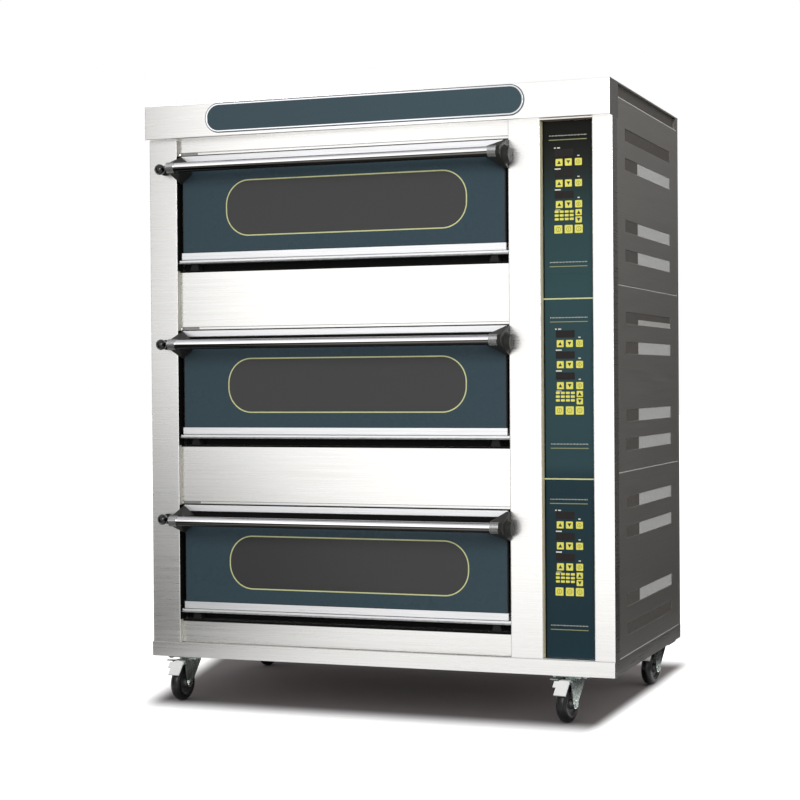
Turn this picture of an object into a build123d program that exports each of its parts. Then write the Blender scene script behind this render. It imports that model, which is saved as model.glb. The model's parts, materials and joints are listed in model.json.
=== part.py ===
"""Three-deck electric bakery oven on braked swivel casters.

Millimetres, +Z up.  The origin is on the floor, under the middle of the oven's bounding box.
X runs left to right as the baker faces the doors, and +Y runs from the doors to the back.

Most sizes below are given in the oven's own workshop datum: "depth" is measured back from the
face of the front columns and "height" up from the top of the plinth.  Each deck repeats the one
below it, one DECK_PITCH higher.
"""
import os

from build123d import *

os.makedirs("parts", exist_ok=True)

# ------------------------------------------------------------------ whole oven
BODY_WIDTH = 1340.0
BODY_DEPTH = 807.0        # column faces to the back panels
HANDLE_REACH = 85.0       # the handle brackets stand this far in front of the columns
OUTLET_REACH = 28.0       # the steam outlet stands this far behind the back panels
CASTER_HEIGHT = 125.0
PLINTH_HEIGHT = 40.0
PLINTH_LIP = 6.7          # the plinth shows this much in front of the columns
CHANNEL_X = 578.0         # channels in the plinth take the caster bolts
CHANNEL_WIDTH = 178.0
CHANNEL_HEIGHT = 14.0
COLUMN_HEIGHT = 1413.0
CANOPY_HEIGHT = 95.0
CANOPY_REACH = 26.5
CANOPY_BACK = 63.0
DECKS = ("lower", "middle", "upper")
DECK_PITCH = 490.0
SHEET = 2.0               # folded stainless sheet
BEND = 3.0                # outside radius of a fold

HALF_WIDTH = BODY_WIDTH / 2
ROOF_HEIGHT = COLUMN_HEIGHT + CANOPY_HEIGHT
FRONT = (HANDLE_REACH - BODY_DEPTH - OUTLET_REACH) / 2
DATUM = CASTER_HEIGHT + PLINTH_HEIGHT

# ------------------------------------------------------------------ front, left to right
BAY_LEFT = -583.0         # the bay between the columns holds the doors and fascias
BAY_RIGHT = 388.0
RECESS_LEFT = 475.0       # the recess holds the control panels
RECESS_RIGHT = 615.0
RECESS_DEPTH = 24.0
WRAP_DEPTH = 50.0         # the corner posts turn this far round the sides
SIGN_X = (-478.0, 436.0)  # the bare sign plate on the canopy
SIGN_HEIGHT = (1421.0, 1503.0)

# ------------------------------------------------------------------ sides and back
PANEL_BACK = 780.0        # the side panels end here, at the rear posts
PANEL_HEIGHTS = ((2.0, 486.5), (489.5, 977.5), (980.5, 1468.0))
PANEL_HEM = 12.0
ROOF_EDGE = 4.0           # the lid's down-turned edge
HEM_SHADOW = 2.0          # the hems stand this far inside the edge of their panel
SLOT_DEPTH = (135.0, 690.0)
SLOT_OPENING = 32.0
SLOT_FLOORS = ((53.0, 130.0, 310.0, 389.0), (53.0, 130.0, 310.0, 389.0), (64.0, 142.0, 306.0, 383.0))
REAR_FLANGE = 18.0        # the rear posts turn this far behind the back panels
OUTLET = (-610.0, 1400.0)  # steam outlet, as (x, height)
OUTLET_RADIUS = 25.0
GLAND = (560.0, 120.0)    # cable gland, as (x, height)
GLAND_RADIUS = 11.0
GLAND_BORE = 9.0

# ------------------------------------------------------------------ one deck, bottom to top
SLOT_FLOOR = 65.0         # top of the fascia under the door
SILL = (85.0, 89.0)
LINER = (89.0, 350.0)
LINER_FRONT = 52.0
CAVITY_X = (-541.0, 346.0)
CAVITY_BACK = 704.0
HEARTH = (112.0, 128.0)
ELEMENT_HEIGHTS = (102.0, 336.0)
ELEMENT_DEPTHS = (140.0, 370.0, 600.0)
ELEMENT_RADIUS = 4.0
LAMP = (640.0, 250.0)     # chamber lamp in the right-hand wall, as (depth, height)
LAMP_RADIUS = 22.0
LEDGE = 14.0              # the hearth rests on ledges this wide

# ------------------------------------------------------------------ doors
DOOR_X = (-574.0, 379.0)
DOOR_FRONT = 9.0
DOOR_BACK = 50.0
DOOR_BOTTOM = 94.0
DOOR_TOP = 387.0
CASING_BOTTOM = 102.0
GLASS = (115.0, 370.0)
GLASS_FRONT = 11.0
GLASS_THICKNESS = 5.0
WINDOW_X = (-434.0, 270.0)
WINDOW = (158.0, 309.0)
WINDOW_RADIUS = 70.0
PIVOT_DEPTH = 24.0
PIVOT_HEIGHT = 110.0
PIVOT_RADIUS = 5.0
RUNNING_GAP = 0.05        # radial clearance of every pin that turns or slides

HANDLE_DEPTH = -70.0
HANDLE_HEIGHT = 347.0
HANDLE_RADIUS = 13.5
COLLAR_RADIUS = 15.0
COLLAR_LENGTH = 24.0
HANDLE_X = (-577.0, 380.0)
ARM_WIDTH = 32.0          # moulded arms carry the tube, and an end plate closes its right end
ARM_TIP = 12.0
FOOT_HEIGHT = 76.0
FOOT_DEPTH = 6.0
END_PLATE = 10.0
BOSS_DEPTH = -29.0        # a domed round boss on the end plate, a little under the tube
BOSS_DROP = 5.0
BOSS_RADIUS = 26.0
BOSS_LENGTH = 13.0
BOSS_TAPER = 28.0

# ------------------------------------------------------------------ steam damper
DAMPER_X = -618.0
DAMPER_HEIGHT = 348.0
DAMPER_ROD_RADIUS = 4.0
DAMPER_BALL_RADIUS = 15.0
DAMPER_BALL_DEPTH = -38.0
DAMPER_DISC_RADIUS = 22.0
BUSH_RADIUS = 14.0
BUSH_LENGTH = 9.0
DUCT_X = (-652.0, -584.0)
DUCT_DEPTH = (690.0, 750.0)
DUCT_HEIGHT = (300.0, 1440.0)

# ------------------------------------------------------------------ controls
CONTROL_HEIGHTS = ((2.5, 470.5), (473.5, 942.5), (945.5, 1409.5))
CONTROL_BACK = 28.0
MEMBRANE = 0.6            # keypad overlay, and how far its keys are embossed
KEY_RISE = 1.0
KEYPAD_X = (492.0, 604.0)
# heights of the controls are measured down from the top of their panel
KEYPAD_DROP = (40.0, 400.0)
DISPLAY_X = (513.0, 565.0)
DISPLAY_DROPS = (91.0, 146.0, 201.0)
SQUARE_KEY = 18.0
SQUARE_KEY_X = (526.0, 551.0, 578.0)
SQUARE_KEY_DROPS = (116.0, 171.0, 226.0)
SMALL_KEY = (11.5, 6.4)
SMALL_KEY_X = (518.8, 532.3, 545.8, 559.3)
SMALL_KEY_DROPS = (245.0, 254.5, 264.0)
STEP_KEY = (16.0, 16.0)
STEP_KEY_DROPS = (249.0, 268.0)
BIG_KEY = (22.0, 22.0)
BIG_KEY_X = (523.0, 551.0, 578.0)
BIG_KEY_DROP = 291.0

# ------------------------------------------------------------------ electrics
RACK_X = (650.0, 652.0)
RACK_DEPTH = (367.0, 770.0)
RACK_HEIGHT = (110.0, 1350.0)
CONTACTOR_DEPTHS = (430.0, 500.0, 570.0)
CONTACTOR_WIDTH = 45.0

# ------------------------------------------------------------------ casters
WHEEL_RADIUS = 50.0
WHEEL_WIDTH = 30.0
CASTER_TRAIL = 38.0       # the axle stands this far in front of the kingpin
CASTER_PLATE = (105.0, 84.0)
PIN_RADIUS = 6.0          # kingpin and axle
FORK_GAP = 4.5            # between the tyre and each leg
HUB_PLAY = 0.5            # between the hub and each leg
FORK_SHEET = 3.0
CROWN_TOP = CASTER_HEIGHT - 8.3
CROWN = 4.0
CROWN_RADIUS = 30.0
PEDAL_PIN = (-50.0, 108.0)  # brake pedal's pin, as (depth behind the kingpin, height above the floor)
PEDAL_PIN_RADIUS = 3.0
PEDAL_WIDTH = 26.0
# each caster's (x, depth) and how many degrees it has swivelled clockwise, seen from above
CASTERS = {
    "front_left": (-580.0, 48.0, 5.0),
    "front_right": (545.0, 48.0, 10.0),
    "rear_left": (-616.0, 713.0, 8.0),
    "rear_right": (616.0, 713.0, 10.0),
}


def save(part, name):
    """Label one finished sub-part and write its STEP file."""
    part.label = name
    export_step(part, f"parts/{name}.step")


def block(x, depth, height, deck=0, mode=Mode.ADD):
    """A rectangular block between (low, high) limits in the oven's datum."""
    rise = DATUM + deck * DECK_PITCH
    with Locations((sum(x) / 2, FRONT + sum(depth) / 2, rise + sum(height) / 2)):
        Box(x[1] - x[0], depth[1] - depth[0], height[1] - height[0], mode=mode)


def front_plane(depth, x=0.0, height=0.0, deck=0):
    """A sketch plane that faces the baker: local x is across, local y is up."""
    origin = (x, FRONT + depth, DATUM + deck * DECK_PITCH + height)
    return Plane(origin=origin, x_dir=(1, 0, 0), z_dir=(0, -1, 0))


def side_plane(x, deck=0):
    """A sketch plane that faces +X: local x is depth, local y is height."""
    origin = (x, FRONT, DATUM + deck * DECK_PITCH)
    return Plane(origin=origin, x_dir=(0, 1, 0), z_dir=(1, 0, 0))


def middle(limits):
    """The middle of a (low, high) pair."""
    return sum(limits) / 2


def length(limits):
    """The length of a (low, high) pair."""
    return limits[1] - limits[0]


# ================================================================== plinth and chassis
def make_plinth():
    """Pan with an inturned top flange, and two channels that take the caster bolts."""
    flange = 62.0
    outline = (BODY_WIDTH, BODY_DEPTH + PLINTH_LIP)
    centre_depth = (BODY_DEPTH - PLINTH_LIP) / 2
    with BuildPart() as plinth:
        with BuildSketch(Plane.XY.offset(CASTER_HEIGHT)):
            with Locations((0, FRONT + centre_depth)):
                Rectangle(*outline)
        extrude(amount=PLINTH_HEIGHT)
        offset(amount=-SHEET, openings=plinth.faces().sort_by(Axis.Z)[-1])
        with BuildSketch(Plane.XY.offset(DATUM - SHEET)):
            with Locations((0, FRONT + centre_depth)):
                Rectangle(*outline)
                Rectangle(outline[0] - 2 * flange, outline[1] - 2 * flange, mode=Mode.SUBTRACT)
        extrude(amount=SHEET)
        for x in (-CHANNEL_X, CHANNEL_X):
            channel = (x - CHANNEL_WIDTH / 2, x + CHANNEL_WIDTH / 2)
            block(channel, (10, BODY_DEPTH - 20), (SHEET - PLINTH_HEIGHT, CHANNEL_HEIGHT - PLINTH_HEIGHT))
        chamfer(plinth.edges().filter_by(Axis.Z).group_by(Axis.Y)[0], 1.5)
    save(plinth.part, "base_plinth")


def make_posts():
    """The folded stainless posts: two front columns and two rear corner posts."""
    left_outline = [
        (-HALF_WIDTH, WRAP_DEPTH),
        (-HALF_WIDTH, 0),
        (BAY_LEFT, 0),
        (BAY_LEFT, LINER_FRONT),
    ]
    right_outline = [
        (BAY_RIGHT, LINER_FRONT),
        (BAY_RIGHT, 0),
        (RECESS_LEFT, 0),
        (RECESS_LEFT, CONTROL_BACK),
    ]
    for name, points in (("left_column", left_outline), ("right_column", right_outline)):
        with BuildPart() as column:
            with BuildSketch(Plane.XY.offset(DATUM)):
                with BuildLine():
                    FilletPolyline(*[(x, FRONT + depth) for x, depth in points], radius=BEND)
                    offset(amount=SHEET, side=Side.LEFT)
                make_face()
            extrude(amount=COLUMN_HEIGHT)
            if name == "left_column":
                for deck in range(len(DECKS)):
                    with BuildSketch(front_plane(-1, DAMPER_X, DAMPER_HEIGHT, deck)):
                        Circle(DAMPER_ROD_RADIUS + 1)
                    extrude(amount=-5, mode=Mode.SUBTRACT)
        save(column.part, name)

    with BuildPart() as posts:
        with BuildSketch(Plane.XY.offset(DATUM)):
            with BuildLine():
                back = FRONT + BODY_DEPTH
                side = (HALF_WIDTH, FRONT + PANEL_BACK)
                FilletPolyline((HALF_WIDTH - REAR_FLANGE, back), (HALF_WIDTH, back), side, radius=BEND)
                offset(amount=SHEET, side=Side.RIGHT)
            make_face()
        extrude(amount=ROOF_HEIGHT - ROOF_EDGE)
        mirror(about=Plane.YZ)
    save(posts.part, "rear_posts")


def make_deck_shelves():
    """One shelf carries each baking chamber; its rolled nose is the sill under the door."""
    with BuildPart() as shelves:
        for deck in range(len(DECKS)):
            with BuildSketch(side_plane(BAY_LEFT, deck)):
                with Locations((BODY_DEPTH / 2 + 2, middle(SILL))):
                    Rectangle(BODY_DEPTH - 8, length(SILL))
                with Locations((7.5, middle(SILL))):
                    Circle(length(SILL) / 2 + 0.6)
            extrude(amount=BAY_RIGHT - BAY_LEFT)
            # the nose is trimmed level with the shelf so that the door's rail clears it
            block((BAY_LEFT, BAY_RIGHT), (-2, 30), (SILL[1], SILL[1] + 5), deck, Mode.SUBTRACT)
    save(shelves.part, "deck_shelves")


# ================================================================== outer sheet metal
def make_control_surround():
    """Right-hand strip, top and bottom reveals and back sheet round the control panels."""
    with BuildPart() as surround:
        with BuildSketch(Plane.XY.offset(DATUM)):
            with BuildLine():
                points = [
                    (RECESS_RIGHT, CONTROL_BACK + SHEET),
                    (RECESS_RIGHT, 0),
                    (HALF_WIDTH, 0),
                    (HALF_WIDTH, WRAP_DEPTH),
                ]
                FilletPolyline(*[(x, FRONT + depth) for x, depth in points], radius=BEND)
                offset(amount=SHEET, side=Side.LEFT)
            make_face()
        extrude(amount=COLUMN_HEIGHT)
        recess = (RECESS_LEFT, RECESS_RIGHT + 1)
        block(recess, (CONTROL_BACK, CONTROL_BACK + SHEET), (0, COLUMN_HEIGHT))
        for low in (0, COLUMN_HEIGHT - SHEET):
            block(recess, (0.5, CONTROL_BACK + 1), (low, low + SHEET))
    save(surround.part, "control_surround")


def make_fascias():
    """Folded panels that close the bay above and below the doors."""
    face = 15.0
    joggle = 20.0
    flange = 45.0
    with BuildPart() as fascias:
        for deck in range(len(DECKS) + 1):
            rise = deck * DECK_PITCH
            low = rise - 93.0
            high = min(rise + SLOT_FLOOR, COLUMN_HEIGHT)
            foot = [(flange, low - 7), (joggle, low - 7), (joggle, low), (face, low)]
            if deck == 0:
                foot = [(flange, 1), (face, 1)]
            points = foot + [(face, high), (flange, high)]
            with BuildSketch(side_plane(BAY_LEFT + 0.5)):
                with BuildLine():
                    Polyline(*points)
                    offset(amount=SHEET, side=Side.RIGHT)
                make_face()
            extrude(amount=BAY_RIGHT - BAY_LEFT - 1)
    save(fascias.part, "fascia_panels")


def make_canopy():
    """Folded hood across the top of the front, open towards the roof space behind it."""
    with BuildPart() as canopy:
        block((-HALF_WIDTH, HALF_WIDTH), (-CANOPY_REACH, CANOPY_BACK), (COLUMN_HEIGHT, ROOF_HEIGHT))
        front_edges = canopy.edges().group_by(Axis.Y)[0]
        fillet(front_edges, BEND)
        offset(amount=-SHEET, openings=canopy.faces().sort_by(Axis.Y)[-1])
    save(canopy.part, "canopy")

    with BuildPart() as plate:
        centre = (middle(SIGN_X), middle(SIGN_HEIGHT))
        rim = 8.0
        thickness = 4.0
        with BuildSketch(front_plane(-CANOPY_REACH, *centre)):
            SlotOverall(length(SIGN_X), length(SIGN_HEIGHT))
        extrude(amount=thickness)
        with BuildSketch(front_plane(-CANOPY_REACH - thickness, *centre)):
            SlotOverall(length(SIGN_X) - 2 * rim, length(SIGN_HEIGHT) - 2 * rim)
        extrude(amount=-1.5, mode=Mode.SUBTRACT)
    save(plate.part, "sign_plate")


def make_roof():
    """Flat lid with a shallow down-turned edge."""
    with BuildPart() as roof:
        block((-HALF_WIDTH, HALF_WIDTH), (CANOPY_BACK, BODY_DEPTH), (ROOF_HEIGHT - ROOF_EDGE, ROOF_HEIGHT))
        offset(amount=-SHEET, openings=roof.faces().sort_by(Axis.Z)[0])
    save(roof.part, "roof_panel")


def make_side_panels():
    """Three hemmed panels a side; those on the electrical side are slotted."""
    centre_depth = middle((WRAP_DEPTH, PANEL_BACK))
    width = PANEL_BACK - WRAP_DEPTH - 1
    for name, side in (("left_side_panels", -1), ("right_side_panels", 1)):
        skin = side_plane(side * HALF_WIDTH)
        with BuildPart() as panels:
            for deck, height in enumerate(PANEL_HEIGHTS):
                tall = length(height)
                with BuildSketch(skin):
                    with Locations((centre_depth, middle(height))):
                        Rectangle(width, tall)
                        Rectangle(width - 2 * HEM_SHADOW, tall - 2 * HEM_SHADOW, mode=Mode.SUBTRACT)
                extrude(amount=-side * PANEL_HEM)
                with BuildSketch(skin):
                    with Locations((centre_depth, middle(height))):
                        Rectangle(width, tall)
                    if side > 0:
                        for floor in SLOT_FLOORS[deck]:
                            level = deck * DECK_PITCH + floor + SLOT_OPENING / 2
                            with Locations((middle(SLOT_DEPTH), level)):
                                Rectangle(length(SLOT_DEPTH), SLOT_OPENING, mode=Mode.SUBTRACT)
                extrude(amount=-side * SHEET)
            chamfer(panels.edges().filter_by(Axis.Y).group_by(Axis.X)[-1 if side > 0 else 0], 0.8)
            # the top panel is notched round the end of the canopy
            notch = sorted((side * (HALF_WIDTH + 1), side * (HALF_WIDTH - PANEL_HEM - 1)))
            notch_height = (COLUMN_HEIGHT - 0.5, ROOF_HEIGHT)
            block(notch, (WRAP_DEPTH - 1, CANOPY_BACK), notch_height, mode=Mode.SUBTRACT)
        save(panels.part, name)


def make_vent_screens():
    """Mesh behind every slot, and the recessed screens under the roof on both sides."""
    skin = HALF_WIDTH - SHEET
    overlap = 8.0
    recess = 10.0
    with BuildPart() as screens:
        for deck in range(len(DECKS)):
            for floor in SLOT_FLOORS[deck]:
                limits = (floor - overlap, floor + SLOT_OPENING + overlap)
                block((skin - 1, skin), (SLOT_DEPTH[0] - overlap, SLOT_DEPTH[1] + overlap), limits, deck)
        for side in (-1, 1):
            strip = sorted((side * (HALF_WIDTH - recess - SHEET), side * (HALF_WIDTH - recess)))
            limits = (PANEL_HEIGHTS[-1][1], ROOF_HEIGHT - SHEET)
            block(strip, (CANOPY_BACK + SHEET, PANEL_BACK), limits)
    save(screens.part, "vent_screens")


def make_back_panels():
    """Hemmed back panels, pierced for the steam outlet and the cable gland."""
    half = HALF_WIDTH - REAR_FLANGE - 1
    inner = half - HEM_SHADOW
    tops = [height[1] for height in PANEL_HEIGHTS[:-1]] + [ROOF_HEIGHT - ROOF_EDGE]
    with BuildPart() as panels:
        for (low, _), high in zip(PANEL_HEIGHTS, tops):
            hem = (BODY_DEPTH - PANEL_HEM, BODY_DEPTH)
            pan = (BODY_DEPTH - PANEL_HEM, BODY_DEPTH - SHEET)
            block((-half, half), hem, (low, high))
            block((-inner, inner), pan, (low + HEM_SHADOW, high - HEM_SHADOW), mode=Mode.SUBTRACT)
        for centre, radius in ((OUTLET, OUTLET_RADIUS - 0.6), (GLAND, GLAND_RADIUS + 0.4)):
            with BuildSketch(front_plane(BODY_DEPTH + 1, *centre)):
                Circle(radius)
            extrude(amount=SHEET + 4, mode=Mode.SUBTRACT)
    save(panels.part, "back_panels")


# ================================================================== baking chambers
def make_chamber(deck, level):
    """Folded chamber liner with a front flange and ledges for the hearth."""
    wall_x = (CAVITY_X[0] - SHEET, CAVITY_X[1] + SHEET)
    with BuildPart() as liner:
        block(wall_x, (LINER_FRONT, CAVITY_BACK + SHEET), LINER, deck)
        offset(amount=-SHEET, openings=liner.faces().sort_by(Axis.Y)[0])
        inside = (LINER[0] + SHEET, LINER[1] - SHEET)
        flange = (LINER[0], DOOR_TOP - 2)
        with BuildSketch(front_plane(LINER_FRONT + SHEET, 0, 0, deck)):
            with Locations((middle(DOOR_X), middle(flange))):
                Rectangle(length(DOOR_X) - 12, length(flange))
            with Locations((middle(CAVITY_X), middle(inside))):
                Rectangle(length(CAVITY_X), length(inside), mode=Mode.SUBTRACT)
        extrude(amount=SHEET)
        for x in ((CAVITY_X[0], CAVITY_X[0] + LEDGE), (CAVITY_X[1] - LEDGE, CAVITY_X[1])):
            block(x, (62, CAVITY_BACK - 4), (HEARTH[0] - 4, HEARTH[0]), deck)
    save(liner.part, f"chamber_liner_{level}")


def make_chamber_fittings():
    """Hearths, tubular heaters, lamps and mineral wool, the same in every deck."""
    with BuildPart() as hearths:
        for deck in range(len(DECKS)):
            block((CAVITY_X[0] + 2, CAVITY_X[1] - 2), (58, 698), HEARTH, deck)
        chamfer(hearths.edges().filter_by(Axis.X).group_by(Axis.Y)[0], 2.0)
    save(hearths.part, "hearth_plates")

    # each bank of heater rods stands in a terminal strip on the chamber's right-hand wall
    strip_x = (CAVITY_X[1] - 12, CAVITY_X[1])
    strip_depth = (ELEMENT_DEPTHS[0] - 20, ELEMENT_DEPTHS[-1] + 20)
    with BuildPart() as strips:
        for deck in range(len(DECKS)):
            for height in ELEMENT_HEIGHTS:
                block(strip_x, strip_depth, (height - 5, height + 5), deck)
    with BuildPart() as rods:
        for deck in range(len(DECKS)):
            with BuildSketch(side_plane(CAVITY_X[0], deck)):
                with Locations(*[(depth, height) for depth in ELEMENT_DEPTHS for height in ELEMENT_HEIGHTS]):
                    RegularPolygon(ELEMENT_RADIUS, 8)
            extrude(amount=strip_x[0] - CAVITY_X[0])
    save(Compound(children=[strips.part, rods.part]), "heating_elements")

    with BuildPart() as lamps:
        for deck in range(len(DECKS)):
            with BuildSketch(side_plane(CAVITY_X[1], deck)):
                with Locations(LAMP):
                    Circle(LAMP_RADIUS)
            extrude(amount=-10)
    save(lamps.part, "oven_lamps")

    across = (BAY_LEFT + 2, BAY_RIGHT - 2)
    front = LINER_FRONT + 5
    back = 760.0
    with BuildPart() as wool:
        for deck in range(len(DECKS)):
            block(across, (front, back), (LINER[1], LINER[1] + 40), deck)
            block(across, (front - 7, back), (SILL[0] - 22, SILL[0]), deck)
            block((across[0], -550), (front, CAVITY_BACK + SHEET), LINER, deck)
            block((CAVITY_X[1] + SHEET, 380), (front, 560), (140, 320), deck)
            block((across[0], CAVITY_X[1]), (CAVITY_BACK + SHEET, back), LINER, deck)
    save(wool.part, "insulation")


# ================================================================== doors
def make_door(deck, level):
    """Casing, glass, rails, tubular handle and moulded handle brackets of one door."""
    left, right = DOOR_X
    lug = 16.0
    with BuildPart() as casing:
        glass_back = GLASS_FRONT + GLASS_THICKNESS
        block((left + 1, right - 1), (glass_back, DOOR_BACK), (CASING_BOTTOM, DOOR_TOP - 1), deck)
        offset(amount=-SHEET, openings=casing.faces().sort_by(Axis.Y)[0])
        window_middle = (middle(WINDOW_X), middle(WINDOW))
        with BuildSketch(front_plane(DOOR_BACK + 1, *window_middle, deck)):
            RectangleRounded(length(WINDOW_X), length(WINDOW), WINDOW_RADIUS)
        extrude(amount=5, mode=Mode.SUBTRACT)
        for x in ((left + 1, left + 1 + lug), (right - 1 - lug, right - 1)):
            block(x, (glass_back, 38), (CASING_BOTTOM, 124), deck)
        with BuildSketch(side_plane(left, deck)):
            with Locations((PIVOT_DEPTH, PIVOT_HEIGHT)):
                Circle(PIVOT_RADIUS + RUNNING_GAP)
        extrude(amount=right - left, mode=Mode.SUBTRACT)
    save(casing.part, f"door_casing_{level}")

    with BuildPart() as glass:
        block((left + 3, right - 3), (GLASS_FRONT, GLASS_FRONT + GLASS_THICKNESS), GLASS, deck)
        chamfer(glass.edges().group_by(Axis.Y)[0], 0.8)
        block((WINDOW_X[0] - 20, WINDOW_X[1] + 20), (DOOR_BACK - 6, DOOR_BACK - SHEET),
              (WINDOW[0] - 12, WINDOW[1] + 12), deck)
    save(glass.part, f"door_glass_{level}")

    with BuildPart() as rails:
        with BuildSketch(side_plane(left, deck)):
            with BuildLine():
                corner = 4.0
                nose = (DOOR_FRONT + corner, DOOR_BOTTOM)
                Polyline(nose, (34, DOOR_BOTTOM), (34, CASING_BOTTOM - 0.1), (16, CASING_BOTTOM - 0.1),
                         (16, GLASS[0]), (DOOR_FRONT, GLASS[0]), (DOOR_FRONT, DOOR_BOTTOM + corner))
                RadiusArc((DOOR_FRONT, DOOR_BOTTOM + corner), nose, -corner)
            make_face()
            with Locations((middle((DOOR_FRONT, 16)), middle((GLASS[1], DOOR_TOP)))):
                RectangleRounded(16 - DOOR_FRONT, DOOR_TOP - GLASS[1], 1.5)
        extrude(amount=right - left)
    save(rails.part, f"door_rails_{level}")

    handle_centre = (HANDLE_DEPTH, HANDLE_HEIGHT)
    with BuildPart() as tube:
        with BuildSketch(side_plane(HANDLE_X[0], deck)):
            with Locations(handle_centre):
                Circle(HANDLE_RADIUS)
        extrude(amount=length(HANDLE_X))
        for x in (HANDLE_X[0], HANDLE_X[1] - COLLAR_LENGTH):
            with BuildSketch(side_plane(x, deck)):
                with Locations(handle_centre):
                    Circle(COLLAR_RADIUS)
            extrude(amount=COLLAR_LENGTH)
        # the bore stops short of the left end, which stays closed
        with BuildSketch(side_plane(HANDLE_X[1], deck)):
            with Locations(handle_centre):
                Circle(HANDLE_RADIUS - SHEET)
        extrude(amount=6 - length(HANDLE_X), mode=Mode.SUBTRACT)
    save(tube.part, f"handle_tube_{level}")

    # each arm tapers two ways: from its foot to the tube, and from the door's edge inwards
    arm_x = ((left + 1, left + 1 + ARM_WIDTH), (right - 1, right - 1 - ARM_WIDTH))
    foot = (DOOR_FRONT - FOOT_DEPTH / 2, HANDLE_HEIGHT)
    with BuildPart() as brackets:
        for ends in arm_x:
            with BuildSketch(side_plane(min(ends), deck)):
                with Locations(foot):
                    Rectangle(FOOT_DEPTH, FOOT_HEIGHT)
                with Locations((HANDLE_DEPTH + 8, HANDLE_HEIGHT)):
                    chamfer(Rectangle(16, 31).vertices(), 5)
                make_hull()
            extrude(amount=ARM_WIDTH)
        with BuildSketch(front_plane(DOOR_FRONT + 1, 0, HANDLE_HEIGHT, deck)):
            for outer, inner in arm_x:
                with BuildLine():
                    Polyline((outer, -FOOT_HEIGHT / 2), (outer, FOOT_HEIGHT / 2), (inner, ARM_TIP),
                             (inner, -ARM_TIP), close=True)
                make_face()
        extrude(amount=HANDLE_REACH + DOOR_FRONT + 1, mode=Mode.INTERSECT)
        with BuildSketch(side_plane(HANDLE_X[1], deck)):
            with Locations(handle_centre):
                Circle(COLLAR_RADIUS)
            with Locations((-FOOT_DEPTH, HANDLE_HEIGHT)):
                Rectangle(FOOT_DEPTH, FOOT_HEIGHT)
            make_hull()
        extrude(amount=END_PLATE)
        with BuildSketch(side_plane(HANDLE_X[1] + END_PLATE, deck)):
            with Locations((BOSS_DEPTH, HANDLE_HEIGHT - BOSS_DROP)):
                Circle(BOSS_RADIUS)
        extrude(amount=BOSS_LENGTH, taper=BOSS_TAPER)
        with BuildSketch(side_plane(HANDLE_X[0] - 1, deck)):
            with Locations(handle_centre):
                Circle(COLLAR_RADIUS + RUNNING_GAP)
        extrude(amount=length(HANDLE_X) + 1, mode=Mode.SUBTRACT)
    save(brackets.part, f"handle_brackets_{level}")


def make_door_hinges():
    """Shouldered weld studs on the columns, and the blocks that bear up the sills."""
    with BuildPart() as hinges:
        for deck in range(len(DECKS)):
            axis_z = DATUM + deck * DECK_PITCH + PIVOT_HEIGHT
            for wall, inward in ((BAY_LEFT, 1), (BAY_RIGHT, -1)):
                gap = abs((DOOR_X[0] if inward > 0 else DOOR_X[1]) - wall)
                stud = Plane(
                    origin=(wall, FRONT + PIVOT_DEPTH, axis_z),
                    x_dir=(0, 1, 0),
                    z_dir=(inward, 0, 0),
                )
                with BuildSketch(stud):
                    RegularPolygon(9.0, 6)
                extrude(amount=gap - 1)
                with BuildSketch(stud.offset(gap - 1)):
                    Circle(PIVOT_RADIUS)
                extrude(amount=15)
            for x in (DOOR_X[0] + 35, DOOR_X[1] - 35):
                with BuildSketch(front_plane(17, x, SLOT_FLOOR, deck)):
                    with BuildLine():
                        rise = SILL[0] - SLOT_FLOOR
                        Polyline((-14, 0), (14, 0), (8, rise), (-8, rise), close=True)
                    make_face()
                extrude(amount=-26)
    save(hinges.part, "door_hinges")


# ================================================================== steam damper
def make_damper(deck, level):
    """Ball knob on a long pull rod, with the valve disc that shuts the flue port."""
    disc_back = DUCT_DEPTH[0] - 0.4
    disc_front = disc_back - 4
    with BuildPart() as damper:
        start = (DAMPER_X, FRONT, DATUM + deck * DECK_PITCH + DAMPER_HEIGHT)
        with BuildSketch(Plane(origin=start, x_dir=(0, 1, 0), z_dir=(-1, 0, 0))):
            with BuildLine():
                neck = (DAMPER_BALL_RADIUS ** 2 - DAMPER_ROD_RADIUS ** 2) ** 0.5
                ball = ThreePointArc(
                    (DAMPER_BALL_DEPTH - DAMPER_BALL_RADIUS, 0),
                    (DAMPER_BALL_DEPTH, DAMPER_BALL_RADIUS),
                    (DAMPER_BALL_DEPTH + neck, DAMPER_ROD_RADIUS),
                )
                Polyline(ball @ 1, (disc_front, DAMPER_ROD_RADIUS), (disc_front, 0), ball @ 0)
            make_face()
        revolve(axis=Axis(start, (0, 1, 0)))
        with BuildSketch(front_plane(disc_front, DAMPER_X, DAMPER_HEIGHT, deck)):
            RegularPolygon(DAMPER_DISC_RADIUS, 8)
        extrude(amount=disc_front - disc_back)
    save(damper.part, f"damper_pull_{level}")


def make_damper_bushes():
    """Turned bushes on the left column that guide the damper rods."""
    with BuildPart() as bushes:
        for deck in range(len(DECKS)):
            start = (DAMPER_X, FRONT, DATUM + deck * DECK_PITCH + DAMPER_HEIGHT)
            bore = DAMPER_ROD_RADIUS + RUNNING_GAP
            with BuildSketch(Plane(origin=start, x_dir=(0, 1, 0), z_dir=(-1, 0, 0))):
                with BuildLine():
                    front, back = (-BUSH_LENGTH, BUSH_RADIUS), (0, BUSH_RADIUS)
                    Polyline((-BUSH_LENGTH, bore), front, back, (0, bore), close=True)
                make_face()
            revolve(axis=Axis(start, (0, 1, 0)))
    save(bushes.part, "damper_bushes")


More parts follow.
